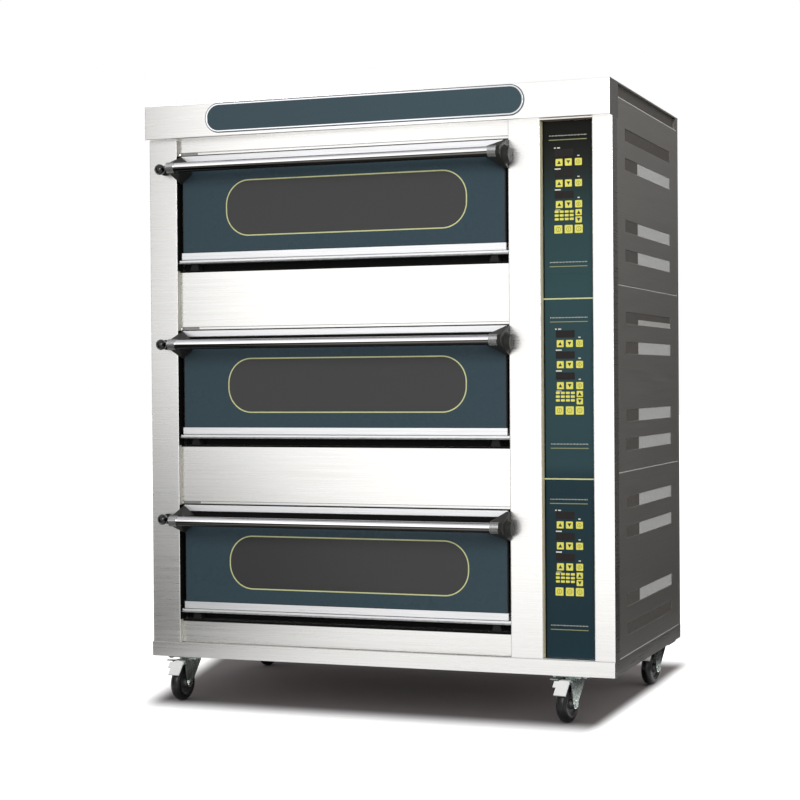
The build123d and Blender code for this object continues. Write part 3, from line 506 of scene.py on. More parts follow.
# Painted reflection: a white band on the top of the tube and dark bands underneath.
graded(tube, along(tube, "Normal", "Z"), -1.0, 1.0, [
    (0.0, (26, 25, 26)), (0.24, (38, 37, 36)), (0.30, (112, 110, 106)),
    (0.38, (104, 102, 98)), (0.42, (34, 33, 30)), (0.48, (48, 46, 42)),
    (0.53, (250, 250, 250)), (0.70, (252, 252, 252)), (0.78, (196, 194, 200)),
    (0.92, (176, 174, 180)), (0.97, (120, 119, 120))])
print(len(FINISHES), "finishes so far")

# %% [markdown]
# ## Coated, cast and moulded finishes
# Zinc shows its crystals, rubber and moulded plastic have a fine leathery texture, and enamel is
# nearly smooth.  Each gets its own noise, at the size that the real one has.

# %% Zinc, plastic, rubber and paint
def speckled(name, dark, light, roughness, size, metallic=0.0, height=0.0001, shine=0.5):
    """An even, fine-grained finish; size is the number of grains per metre."""
    finish = new_finish(name, light, roughness, metallic, Specular_IOR_Level=shine)
    spots = grain(finish, (size, size, size), detail=3.0)
    tint(finish, spots, dark, light)
    patches = grain(finish, (size / 9, size / 9, size / 9), seed=3.0)
    gloss(finish, patches, roughness - 0.06, roughness + 0.06)
    relief(finish, spots, 0.25, height)
    return finish


speckled("galvanised", (136, 139, 139), (168, 171, 170), 0.42, 90.0, metallic=0.9)
speckled("zinc", (112, 122, 117), (190, 200, 195), 0.26, 160.0, metallic=1.0)
speckled("bright_zinc", (214, 218, 216), (240, 242, 240), 0.2, 300.0, metallic=1.0)
speckled("black_plastic", (34, 34, 33), (48, 48, 46), 0.55, 900.0, height=0.0002, shine=0.12)
speckled("gloss_black", (9, 9, 10), (14, 14, 15), 0.14, 300.0, height=0.00002)
speckled("door_black", (20, 20, 21), (28, 28, 29), 0.4, 500.0, height=0.00004, shine=0.2)
# The hinge steel is kept near black: painted shade for hinges that sit deep in the dark slot.
speckled("hinge_steel", (18, 18, 18), (30, 30, 30), 0.6, 500.0, shine=0.2)
speckled("collar_grey", (96, 96, 96), (154, 154, 153), 0.5, 420.0, metallic=0.5, height=0.0004)
speckled("wheel_rubber", (6, 6, 7), (14, 14, 15), 0.32, 260.0, shine=0.3)
speckled("pedal_white", (250, 250, 249), (254, 254, 253), 0.34, 300.0, height=0.00004)
speckled("gland_nylon", (34, 34, 35), (48, 48, 48), 0.5, 700.0)
speckled("sign_face", (68, 86, 94), (72, 90, 98), 0.4, 240.0, height=0.00002, shine=0.1)
speckled("key_yellow", (236, 228, 84), (248, 242, 110), 0.4, 700.0, height=0.00003)
speckled("display_black", (42, 38, 38), (48, 44, 44), 0.4, 300.0, height=0.00002, shine=0.08)
speckled("print_yellow", (212, 215, 150), (222, 225, 162), 0.45, 600.0, height=0.00002)
speckled("print_olive", (140, 142, 98), (152, 154, 108), 0.45, 600.0, height=0.00002)
speckled("print_white", (226, 226, 214), (240, 240, 230), 0.45, 600.0, height=0.00002)
speckled("cream_painted_reflection", (236, 228, 192), (246, 238, 206), 0.5, 300.0, height=0.00003)
speckled("tan_shade", (120, 104, 72), (148, 132, 98), 0.5, 120.0, height=0.00003)
speckled("legend_black", (20, 20, 16), (34, 34, 28), 0.5, 600.0, height=0.00002)
speckled("glass_print", (60, 78, 87), (63, 81, 90), 0.3, 120.0, height=0.00001, shine=0.1)
speckled("line_grey", (74, 86, 94), (92, 104, 112), 0.5, 300.0, height=0.00002, shine=0.1)
# Matt grey for the reveals beside the fascias: painted shade.
speckled("fold_shade", (168, 166, 158), (186, 184, 176), 0.7, 400.0, shine=0.1)
speckled("shadow_black", (6, 6, 6), (11, 11, 11), 0.7, 400.0, shine=0.1)
speckled("vent_mesh", (90, 87, 84), (120, 116, 112), 0.6, 500.0, shine=0.1)
# The grid where light falls on it: painted light.
speckled("mesh_painted_light", (240, 238, 234), (250, 249, 246), 0.6, 500.0, shine=0.1)
print(len(FINISHES), "finishes so far")

# %% [markdown]
# ## Panel enamel
# The control panels are printed in a dark green-blue.  Its colour runs with the height: darker
# on the lowest panel, lighter on the two above, and near black at the very top.

# %% Panel finish
panel = new_finish("control_face", (38, 62, 66), 0.4, Specular_IOR_Level=0.12)
graded(panel, along(panel, "Object", "Z"), 0.165, 1.58, [
    (0.0, (27, 51, 60)), (0.33, (31, 55, 63)), (0.36, (48, 74, 79)),
    (0.65, (48, 75, 80)), (0.68, (51, 79, 83)), (0.80, (46, 72, 75)),
    (0.92, (30, 34, 30)), (0.97, (12, 12, 7))])
relief(panel, grain(panel, (700.0, 700.0, 700.0)), 0.2, 0.00003)
print(len(FINISHES), "finishes so far")

# %% [markdown]
# ## What the heat has touched
# Inside, the chamber steel has yellowed and browned, the hearth is a pale stone slab with flour
# in its pores, and the heater rods have a dull oxide skin.  The wool behind them is a mat of
# fibres, so its noise is long one way and short the other.

# %% Chamber finishes
chamber = new_finish("chamber_steel", (120, 112, 100), 0.45, metallic=0.9)
clouds = grain(chamber, (9.0, 9.0, 14.0), detail=6.0)
tint(chamber, clouds, (84, 72, 58), (142, 136, 126), 0.35, 0.65)
gloss(chamber, clouds, 0.36, 0.55)
relief(chamber, grain(chamber, (6.0, 6.0, 240.0)), 0.15, 0.0002)
hearth = new_finish("hearth", (176, 166, 150), 0.85)
pores = grain(hearth, (150.0, 150.0, 150.0), detail=8.0)
tint(hearth, pores, (140, 128, 112), (196, 188, 174), 0.35, 0.62)
relief(hearth, pores, 0.6, 0.0008)
speckled("element", (58, 50, 46), (96, 84, 76), 0.6, 340.0, metallic=0.5)
wool = new_finish("mineral_wool", (170, 150, 96), 0.95)
fibres = grain(wool, (30.0, 30.0, 260.0), detail=8.0)
tint(wool, fibres, (120, 104, 64), (188, 170, 118), 0.3, 0.7)
relief(wool, fibres, 0.8, 0.002)
print(len(FINISHES), "finishes so far")

# %% [markdown]
# ## Glass
# Each chamber lamp sits behind a thick moulded cap, uneven enough to blur it.  The door pane is
# dark glass that lets only part of the light through, so the chamber behind it stays dim.

# %% Glass finishes
lamp_glass = new_finish("lamp_glass", (240, 232, 206), 0.28, Transmission_Weight=0.75, IOR=1.47)
relief(lamp_glass, grain(lamp_glass, (180.0, 180.0, 180.0)), 0.4, 0.0005)
door_glass = new_finish("door_glass", (84, 84, 84), 0.05, Transmission_Weight=0.3, IOR=1.25)
gloss(door_glass, grain(door_glass, (14.0, 14.0, 14.0)), 0.02, 0.07)

# %% [markdown]
# ## Finishes on the model's own parts
# Each part of the model already knows which finish it takes, because its slot has the finish's
# name.  So the loaded sheet metal is dressed in one loop.  Only the side panels, posts, back and
# roof are given the duller steel instead, whose darker colour is painted shade.

# %% Dress the model
# Parts given the darker copy of the steel, which is painted shade.
DULL_PAINTED_SHADE_PARTS = ("left_side_panels", "right_side_panels", "rear_posts", "back_panels", "roof_panel")
OTHER_FINISH = {"handle_tube": "tube_chrome_painted_reflection", "damper_pull": "gloss_black"}
OTHER_FINISH.update({name: "side_steel_painted_shade" for name in DULL_PAINTED_SHADE_PARTS})
dressed = 0
for node_name, part in frame["nodes"].items():
    family = node_name if node_name in DULL_PAINTED_SHADE_PARTS else node_name.rsplit("_", 1)[0]
    for slot in part.material_slots:
        slot.material = FINISHES[OTHER_FINISH.get(family, slot.material.name.split(".")[0])]
        dressed += 1
print(dressed, "parts dressed in", len(FINISHES), "finishes")


# %% [markdown]
# ## A kit for making parts
# Most of the small parts on an oven are cut from sheet, turned on a lathe or folded. Every part
# is then handed to the body of the oven that it moves with, and told which finish it takes.

# %% Helpers for making parts
def add_part(name, mesh, finish, body="cabinet", ease=0.0, smooth=True):
    """Turns a finished bmesh into a part that rides on a body of the oven."""
    bmesh.ops.remove_doubles(mesh, verts=mesh.verts, dist=1e-7)
    bmesh.ops.recalc_face_normals(mesh, faces=mesh.faces)
    data = bpy.data.meshes.new(name)
    mesh.to_mesh(data)
    mesh.free()
    data.materials.append(FINISHES[finish])
    part = bpy.data.objects.new(name, data)
    bpy.context.scene.collection.objects.link(part)
    if ease:
        edges = part.modifiers.new("eased_edges", "BEVEL")
        edges.width = ease * MM
        edges.segments = 2
        edges.limit_method = "ANGLE"
        edges.angle_limit = math.radians(35)
    if smooth:
        data.shade_smooth()
        data.set_sharp_from_angle(angle=math.radians(38))
    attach(part, body)
    return part


def cut_sheet(mesh, outline, place, low, high, holes=()):
    """Adds a flat sheet: place(u, v, w) puts outline points at the levels low and high."""
    edges = []
    for loop in (outline, *holes):
        points = [mesh.verts.new(place(u, v, low)) for u, v in loop]
        edges += [mesh.edges.new(pair) for pair in zip(points, points[1:] + points[:1])]
    made = bmesh.ops.triangle_fill(mesh, use_beauty=True, edges=edges)
    faces = [f for f in made["geom"] if isinstance(f, bmesh.types.BMFace)]
    grown = bmesh.ops.extrude_face_region(mesh, geom=faces)
    lift = Vector(place(0, 0, high)) - Vector(place(0, 0, low))
    moved = [v for v in grown["geom"] if isinstance(v, bmesh.types.BMVert)]
    bmesh.ops.translate(mesh, verts=moved, vec=lift)


def turned(mesh, profile, centre, axis=(1, 0, 0), steps=48):
    """Adds a turned part; profile is (reach, radius) in millimetres about an axis."""
    shaft = Vector(axis).normalized()
    side = Vector((0, 0, 1)) if abs(shaft.z) < 0.9 else Vector((1, 0, 0))
    up = shaft.cross(side)
    angles = [2 * math.pi * k / steps for k in range(steps)]
    rings = []
    for reach, radius in profile:
        middle = centre + shaft * reach * MM
        if radius < 1e-6:
            rings.append([mesh.verts.new(middle)])
            continue
        spokes = [side * math.cos(a) + up * math.sin(a) for a in angles]
        rings.append([mesh.verts.new(middle + spoke * radius * MM) for spoke in spokes])
    for ring, after in zip(rings, rings[1:]):
        for k in range(steps):
            corners = [ring[k % len(ring)], ring[(k + 1) % len(ring)],
                       after[(k + 1) % len(after)], after[k % len(after)]]
            corners = list(dict.fromkeys(corners))
            if len(corners) > 2:
                mesh.faces.new(corners)


def block(mesh, low, high):
    """Adds a block between two corners in metres."""
    size = Vector(high) - Vector(low)
    centre = (Vector(high) + Vector(low)) / 2
    stretch = Matrix.Translation(centre) @ Matrix.Diagonal((*size, 1.0))
    bmesh.ops.create_cube(mesh, size=1.0, matrix=stretch)


def rounded(centre_u, centre_v, width, height, radius, steps=8):
    """Outline of a rectangle with rounded corners."""
    points = []
    for corner, (su, sv) in enumerate(((1, 1), (-1, 1), (-1, -1), (1, -1))):
        for k in range(steps + 1):
            a = math.pi / 2 * (corner + k / steps)
            points.append((centre_u + su * (width / 2 - radius) + radius * math.cos(a),
                           centre_v + sv * (height / 2 - radius) + radius * math.sin(a)))
    return points


def rectangle(u, v, width, height):
    """Outline of a plain rectangle about its middle."""
    return [(u - width / 2, v - height / 2), (u + width / 2, v - height / 2),
            (u + width / 2, v + height / 2), (u - width / 2, v + height / 2)]


def front(deck=0):
    """Places (across, height, depth) on the front of a deck."""
    return lambda u, v, w: at(u, w, v, deck)


# %% [markdown]
# ## Door glass
# Each door is faced with one pane.  A blue-grey print covers its edges and leaves a long window
# with round ends, and a fine yellow line runs round that window.  The print is a skin on the
# pane with a real hole in it, so the window shows true glass with the chamber behind.

# %% Print the door glass
WINDOW_MIDDLES = ((-82.0, 229.5), (-83.5, 232.5), (-83.0, 236.5))
WINDOW_SIZES = ((704.0, 150.0), (701.0, 153.0), (708.0, 157.0))
WINDOW_ROUND = 70.0
LINE = 3.3
GLASS_FACE = 11.0
PRINT_MARGIN = 2.0
PRINT_MIDDLE, PRINT_TALL = 242.5, 253.0
# A black band across the pane behind the handle is painted shade.
HEAD_MIDDLE, HEAD_TALL = 356.5, 25.0
for deck, level in enumerate(DECKS):
    low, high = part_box(f"door_glass_{level}")
    middle, (wide, tall) = WINDOW_MIDDLES[deck], WINDOW_SIZES[deck]
    pane_middle, pane_wide = (low.x + high.x) / 2 / MM, (high.x - low.x) / MM - PRINT_MARGIN
    window = rounded(*middle, wide, tall, WINDOW_ROUND, steps=16)
    inner = rounded(*middle, wide - 2 * LINE, tall - 2 * LINE, WINDOW_ROUND - LINE, steps=16)
    edge = rounded(pane_middle, PRINT_MIDDLE, pane_wide, PRINT_TALL, 2.0, steps=2)
    border = bmesh.new()
    cut_sheet(border, edge, front(deck), GLASS_FACE, GLASS_FACE - 0.3, holes=[window])
    add_part(f"glass_border_{level}", border, "glass_print", body=f"door_{level}")
    outline = bmesh.new()
    cut_sheet(outline, window, front(deck), GLASS_FACE, GLASS_FACE - 0.5, holes=[inner])
    add_part(f"window_line_{level}", outline, "print_yellow", body=f"door_{level}")
    head = bmesh.new()
    band = rectangle(pane_middle, HEAD_MIDDLE, pane_wide, HEAD_TALL)
    cut_sheet(head, band, front(deck), GLASS_FACE, GLASS_FACE - 0.5)
    add_part(f"glass_head_{level}", head, "shadow_black", body=f"door_{level}")
print("windows are", WINDOW_SIZES, "mm")

# %% [markdown]
# ## Sign plate
# A bare plate with round ends sits on the canopy: a bright rim round a blue-grey face.  The rim
# is a ring with eased edges, because a bright edge needs something round to catch the light.

# %% Make the sign plate
low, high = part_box("sign_plate")
SIGN_ENDS = (-480.0, 442.0)
PLATE_BACK, PLATE_FRONT = -26.5, -30.5
RIM_OUTSIDE, RIM_INSIDE, FACE_INSET = 2.0, 6.2, 7.6
plate_u, plate_v = sum(SIGN_ENDS) / 2, 1464.0
plate_w, plate_h = SIGN_ENDS[1] - SIGN_ENDS[0], (high.z - low.z) / MM


def pill(inset):
    """The plate's round-ended outline, set in by some millimetres."""
    radius = plate_h / 2 - inset - 0.01
    return rounded(plate_u, plate_v, plate_w - 2 * inset, plate_h - 2 * inset, radius, steps=20)


face = bmesh.new()
cut_sheet(face, pill(FACE_INSET), front(), PLATE_BACK, PLATE_FRONT + 1.5)
sign_panel = add_part("sign_panel", face, "sign_face", ease=0.3)
ring = bmesh.new()
cut_sheet(ring, pill(RIM_OUTSIDE), front(), PLATE_BACK, PLATE_FRONT, holes=[pill(RIM_INSIDE)])
add_part("sign_rim", ring, "chrome", ease=0.8)
lines = bmesh.new()
for outside, inside in ((0.0, RIM_OUTSIDE), (RIM_INSIDE, FACE_INSET)):
    cut_sheet(lines, pill(outside), front(), PLATE_BACK, PLATE_FRONT + 1.0, holes=[pill(inside)])
add_part("sign_grooves", lines, "line_grey", ease=0.2)
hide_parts("sign_plate")
print("sign plate", round(plate_w), "by", round(plate_h), "mm")

# %% [markdown]
# ## Keys and their panel
# Each deck has its own control panel.  A thin overlay carries three dark displays, and yellow
# keys are pressed up from it: arrows, a block of small keys and three large ones.  The legends
# are plain triangles, rings and bars, so that they would serve on any oven.

# %% Lay out one control panel
PANEL_TOPS = (470.5, 942.5, 1409.5)
KEY_LIFT = (-3.0, 0.0, 7.0)
KEY_SHIFT = (-3.0, 0.0, 0.0)
RULE_LIFT = (-4.0, 0.0, 9.0)
OVERLAY_X = (492.0, 604.0)
OVERLAY_DROP = (40.0, 400.0)
FACE = 23.4
KEY_TOP = FACE - 0.9
LEGEND_TOP = FACE - 1.0
PRINT_TOP = FACE - 0.1
# keys and prints are (across, drop below the panel's top, width, height)
UP_COLUMN, DOWN_COLUMN, ROUND_COLUMN = KEY_COLUMNS = (521.0, 546.0, 573.0)
KEY_ROWS = (116.0, 171.0, 226.0)
SMALL_COLUMNS = (513.8, 527.3, 540.8, 554.3)
SMALL_ROWS = (245.0, 254.8, 264.6)
STEP_UP, STEP_DOWN = STEP_ROWS = (248.0, 267.0)
BIG_COLUMNS = (518.0, 546.0, 573.0)
BIG_ROW = 291.0
DISPLAY_ROWS = (91.0, 146.0, 201.0)
DISPLAY_MIDDLE = 534.5
DISPLAY_SIZE = (51.0, 19.0)
ARROW_HALF, ARROW_FOOT, ARROW_TIP = 5.2, 4.6, 5.0
KEYS = [(x, drop, 18.6, 18.6) for x in KEY_COLUMNS for drop in KEY_ROWS]
KEYS += [(x, drop, 10.6, 6.2) for x in SMALL_COLUMNS for drop in SMALL_ROWS]
KEYS += [(ROUND_COLUMN, drop, 17.0, 16.0) for drop in STEP_ROWS]
KEYS += [(x, BIG_ROW, 21.5, 21.5) for x in BIG_COLUMNS]
UP_ARROWS = [(UP_COLUMN, drop) for drop in KEY_ROWS] + [(ROUND_COLUMN, STEP_UP)]
DOWN_ARROWS = [(DOWN_COLUMN, drop) for drop in KEY_ROWS] + [(ROUND_COLUMN, STEP_DOWN)]
ROUND_SYMBOLS = [(ROUND_COLUMN, drop, 5.2) for drop in KEY_ROWS]
ROUND_SYMBOLS += [(x, BIG_ROW, 6.4) for x in BIG_COLUMNS]
BARS = [(509.5, 78.0, 4.5, 3.0), (519.5, 78.0, 8.0, 3.0)]
BARS += [(517.0, drop, 16.0, 3.2) for drop in (133.0, 187.5)]
BARS += [(517.0, 240.0, 14.0, 1.8)]
BARS += [(ROUND_COLUMN, drop, 6.0, 2.8) for drop in (100.0, 154.5, 209.5)]
RULES = (59.0, 390.0)
DOTTED = (48.0, 379.0)
RULE_X = (493.5, 595.5)
DOTS = 26


def circle(u, v, radius, steps=24):
    """Outline of a circle."""
    angles = [2 * math.pi * k / steps for k in range(steps)]
    return [(u + radius * math.cos(a), v + radius * math.sin(a)) for a in angles]


# %% Make the overlays and displays
place = front()
middle_x, middle_drop = sum(OVERLAY_X) / 2, sum(OVERLAY_DROP) / 2
wide, tall = OVERLAY_X[1] - OVERLAY_X[0], OVERLAY_DROP[1] - OVERLAY_DROP[0]
for deck, level in enumerate(DECKS):
    top = PANEL_TOPS[deck]
    overlay = bmesh.new()
    cut_sheet(overlay, rounded(middle_x, top - middle_drop, wide, tall, 3.0), place, 24.0, FACE)
    cover = add_part(f"overlay_{level}", overlay, "control_face", ease=0.15)
    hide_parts("keypads")
    panes = bmesh.new()
    for drop in DISPLAY_ROWS:
        u, v = DISPLAY_MIDDLE + KEY_SHIFT[deck], top + KEY_LIFT[deck] - drop
        pane = rounded(u, v, *DISPLAY_SIZE, 1.0, steps=3)
        cut_sheet(panes, pane, place, FACE, FACE - 0.4)
    shown_panes = add_part(f"displays_{level}", panes, "display_black", ease=0.15)
    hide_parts("display_windows")

# %% Press the keys and print the panel
for deck, level in enumerate(DECKS):
    top, shift = PANEL_TOPS[deck] + KEY_LIFT[deck], KEY_SHIFT[deck]
    rule_top = PANEL_TOPS[deck] + RULE_LIFT[deck]
    keys, legends, bars, rules = bmesh.new(), bmesh.new(), bmesh.new(), bmesh.new()
    for x, drop, wide, tall in KEYS:
        key = rounded(x + shift, top - drop, wide, tall, 1.6, steps=4)
        cut_sheet(keys, key, place, FACE, KEY_TOP)
    for spots, sign in ((UP_ARROWS, 1), (DOWN_ARROWS, -1)):
        for x, drop in spots:
            u, v = x + shift, top - drop
            foot, tip = v - sign * ARROW_FOOT, v + sign * ARROW_TIP
            arrow = [(u - ARROW_HALF, foot), (u + ARROW_HALF, foot), (u, tip)]
            cut_sheet(legends, arrow, place, KEY_TOP, LEGEND_TOP)
    for x, drop, radius in ROUND_SYMBOLS:
        u, v = x + shift, top - drop
        hole = circle(u, v, radius - 0.9)
        cut_sheet(legends, circle(u, v, radius), place, KEY_TOP, LEGEND_TOP, holes=[hole])
        cut_sheet(legends, rectangle(u, v, 1.0, radius * 0.9), place, KEY_TOP, LEGEND_TOP)
    for x, drop, wide, tall in BARS:
        cut_sheet(bars, rectangle(x + shift, top - drop, wide, tall), place, FACE, PRINT_TOP)
    for drop in DOTTED:
        for k in range(DOTS):
            x = RULE_X[0] + 2 + k * (RULE_X[1] - RULE_X[0] - 4) / (DOTS - 1)
            dot = rectangle(x + shift, rule_top - drop, 1.6, 2.4)
            cut_sheet(bars, dot, place, FACE, PRINT_TOP)
    for drop in RULES:
        line = rectangle(sum(RULE_X) / 2 + shift, rule_top - drop, RULE_X[1] - RULE_X[0], 2.2)
        cut_sheet(rules, line, place, FACE, PRINT_TOP)
    add_part(f"keys_{level}", keys, "key_yellow", ease=0.35)
    add_part(f"key_legends_{level}", legends, "legend_black", smooth=False)
    add_part(f"panel_prints_{level}", bars, "print_white", smooth=False)
    add_part(f"panel_rules_{level}", rules, "print_olive", smooth=False)
print(len(KEYS), "keys on each panel")

# %% [markdown]
# ## Yellow edging and the recess
# A yellow line runs between the panels, as the folded edge of a painted tray would show.  The
# panels sit back in a recess with a gap on their left, filled black as a painted shadow.  The left
# and top sides of the recess are steel that shows the yellow keys: the cream strip on the left is
# a painted reflection of them, and the tan one on the top is that reflection with painted shade.

# %% Edge the panels
PANEL_JOINTS = ((470.5, 473.5), (942.5, 945.5))
PANEL_MIDDLE, PANEL_WIDE = 545.0, 138.0
JOINT_OVERLAP = 0.6
EDGING_BACK, EDGING_FRONT = 27.9, 23.5
edging = bmesh.new()
for low_v, high_v in PANEL_JOINTS:
    tall = high_v - low_v + JOINT_OVERLAP
    line = rectangle(PANEL_MIDDLE, (low_v + high_v) / 2, PANEL_WIDE, tall)
    cut_sheet(edging, line, front(), EDGING_BACK, EDGING_FRONT)
add_part("panel_edging", edging, "print_yellow", ease=0.2)
print(len(PANEL_JOINTS), "yellow lines between the panels")

# %% Line the recess
RECESS_FOOT, RECESS_TOP, RECESS_BACK = 3.0, 1410.0, 26.0
GAP_MIDDLE, GAP_WIDE, GAP_FOOT = 478.2, 3.4, 2.0
GAP_BACK, GAP_FRONT = 24.2, 23.7
CREAM_REFLECTION_X, CREAM_REFLECTION_FRONT = (475.05, 475.6), 3.0
SOFFIT_X, SOFFIT_FRONT = (476.0, 614.5), 2.0
SOFFIT_V = (1410.3, 1410.9)
gap, cream_reflection, soffit = bmesh.new(), bmesh.new(), bmesh.new()
# The black strip in the gap left of the panels is painted shadow.
strip = rectangle(GAP_MIDDLE, (GAP_FOOT + RECESS_TOP) / 2, GAP_WIDE, RECESS_TOP - GAP_FOOT)
cut_sheet(gap, strip, front(), GAP_BACK, GAP_FRONT)
add_part("panel_gap", gap, "shadow_black")
# The cream strip is a painted reflection of the yellow keys in the steel side of the recess.
block(cream_reflection, at(CREAM_REFLECTION_X[0], CREAM_REFLECTION_FRONT, RECESS_FOOT), at(CREAM_REFLECTION_X[1], RECESS_BACK, RECESS_TOP))
add_part("recess_painted_reflection", cream_reflection, "cream_painted_reflection")
# The tan soffit is the same reflection with painted shade.
block(soffit, at(SOFFIT_X[0], SOFFIT_FRONT, SOFFIT_V[0]), at(SOFFIT_X[1], RECESS_BACK, SOFFIT_V[1]))
add_part("recess_soffit", soffit, "tan_shade")
print("recess is", SOFFIT_X[1] - SOFFIT_X[0], "mm wide under its soffit")

# %% [markdown]
# ## The gap under each door
# Under each door a bright lip stands on the sill, and under that there is a dark slot where air
# is drawn in.  A black strip stands a little way back in the slot and hides the wool behind; its
# black is painted shade.  A black strip on the top edge of the fascia below is a painted shadow
# that makes the slot look taller.

# %% Close the slots and put on the lips
BAY_LEFT, BAY_RIGHT = BAY = (-583.0, 388.0)
# each bar is (bottom, top, front, back, gap at its ends); the edge's bottom varies by deck
# The black strip in the slot is painted shade.
SLOT_STRIP = (60.0, 84.8, 45.5, 47.5, 1.0)
SILL_LIP = (86.6, 94.3, 7.2, 8.8, 1.5)
# A black strip on the fascia's top edge: painted shadow that makes the slot look taller.
SLOT_EDGE_SHADOW = (65.3, 14.3, 15.1, 0.5)
EDGE_FLOORS = (58.5, 60.5, 60.5)


def bay_bar(deck, low_v, high_v, near, far, gap):
    """A bar from side to side of the door bay."""
    bar = bmesh.new()
    block(bar, at(BAY_LEFT + gap, near, low_v, deck), at(BAY_RIGHT - gap, far, high_v, deck))
    return bar


for deck, level in enumerate(DECKS):
    strip, lip = bay_bar(deck, *SLOT_STRIP), bay_bar(deck, *SILL_LIP)
    edge = bay_bar(deck, EDGE_FLOORS[deck], *SLOT_EDGE_SHADOW)
    add_part(f"slot_strip_{level}", strip, "shadow_black", ease=0.5)
    add_part(f"sill_lip_{level}", lip, "rail", ease=0.6)
    add_part(f"slot_edge_shadow_{level}", edge, "shadow_black")
print("slots and lips run", BAY_RIGHT - BAY_LEFT, "mm across the bay")

# %% [markdown]
# ## Folds beside and above the doors
# Where two sheets meet, the eye reads a thin grey line.  On the real front those are the edge of
# each folded panel and the reveal beside it, in shade.  Here they are narrow grey strips laid into
# the folds, which is painted shade, with a short grey patch of painted shade at the left end of
# each door head.  The gaps beside the doors are filled with black strips, a painted shadow.

# %% Line the folds
FASCIAS = ((1.0, 64.5), (388.0, 554.5), (877.5, 1044.0), (1367.0, 1412.0))
# each head fold is (height, thickness, depth)
HEAD_FOLDS = ((397.4, 1.3, 14.9), (390.6, 1.0, 19.9))
REVEAL_OUT, REVEAL_IN = BAY_LEFT - 1.4, BAY_LEFT + 0.4
PROUD = -0.3
REVEAL_BACK = 14.8
FOLD_INSET, FOLD_WIDE = 0.9, 1.2
FOLD_BACK, FOLD_FRONT = 14.9, 14.5
# A short grey patch at the left end of each door head: painted shade.
SHADE_PATCH_X, SHADE_PATCH_RISE = -554.0, 394.0
SHADE_PATCH_SIZE = (54.0, 5.6)
SHADE_PATCH_BACK, SHADE_PATCH_FRONT = 19.9, 19.2
# Black strips beside the doors: painted shadow in the gap.
GAP_SHADOW_FOOT, GAP_SHADOW_TOP, GAP_SHADOW_BACK = 65.0, 387.5, 30.0
LEDGE_HALF, LEDGE_BACK = 669.0, 0.2
LEDGE_FOOT, LEDGE_TOP = 0.1, 1.1
reveals, folds, shade_patches, gap_shadows = bmesh.new(), bmesh.new(), bmesh.new(), bmesh.new()
for low_v, high_v in FASCIAS:
    block(reveals, at(REVEAL_OUT, PROUD, low_v), at(REVEAL_IN, REVEAL_BACK, high_v))
    middle_v = (low_v + high_v) / 2
    fold = rectangle(BAY_RIGHT - FOLD_INSET, middle_v, FOLD_WIDE, high_v - low_v)
    cut_sheet(folds, fold, front(), FOLD_BACK, FOLD_FRONT)
for deck in range(len(DECKS)):
    rise = deck * DECK_PITCH
    for height, thick, depth in HEAD_FOLDS:
        fold = rectangle(sum(BAY) / 2, rise + height, BAY_RIGHT - BAY_LEFT - 2, thick)
        cut_sheet(folds, fold, front(), depth, depth - 0.4)
    shade_patch = rectangle(SHADE_PATCH_X, rise + SHADE_PATCH_RISE, *SHADE_PATCH_SIZE)
    cut_sheet(shade_patches, shade_patch, front(), SHADE_PATCH_BACK, SHADE_PATCH_FRONT)
    block(gap_shadows, at(REVEAL_OUT, PROUD, GAP_SHADOW_FOOT, deck),
          at(REVEAL_IN, GAP_SHADOW_BACK, GAP_SHADOW_TOP, deck))
ledge = bmesh.new()
block(ledge, at(-LEDGE_HALF, PROUD, LEDGE_FOOT), at(LEDGE_HALF, LEDGE_BACK, LEDGE_TOP))
# The grey of the reveals, folds and plinth line is painted shade.
add_part("plinth_line", ledge, "seam_grey")
add_part("bay_reveals", reveals, "fold_shade")
add_part("door_jambs", gap_shadows, "shadow_black")
add_part("fascia_folds", folds, "seam_grey")
add_part("fascia_shade_patches", shade_patches, "seam_grey", ease=0.2)

# %% [markdown]
# ## Handle collars
# The tube of each handle ends in a cast collar with a hammered grey paint.  A collar is turned
# with rounded edges, and it grips the tube.

# %% Turn the collars
HANDLE = (-70.0, 347.0)
COLLAR_STARTS = (-577.0, 356.0)
COLLAR = [(0, 12.0), (0, 14.3), (0.8, 15.0), (23.2, 15.0), (24.0, 14.2), (24.0, 12.0)]
for deck, level in enumerate(DECKS):
    collars = bmesh.new()
    for start in COLLAR_STARTS:
        turned(collars, COLLAR, at(start, *HANDLE, deck))
    add_part(f"handle_collars_{level}", collars, "collar_grey", body=f"door_{level}")

# %% [markdown]
# ## Wheels
# A caster wheel is a rubber tyre on a pressed hub.  The tyre's tread is rounded, so it is turned
# from a curved profile instead of a plain disc, and the hub shows as a ring on either side.

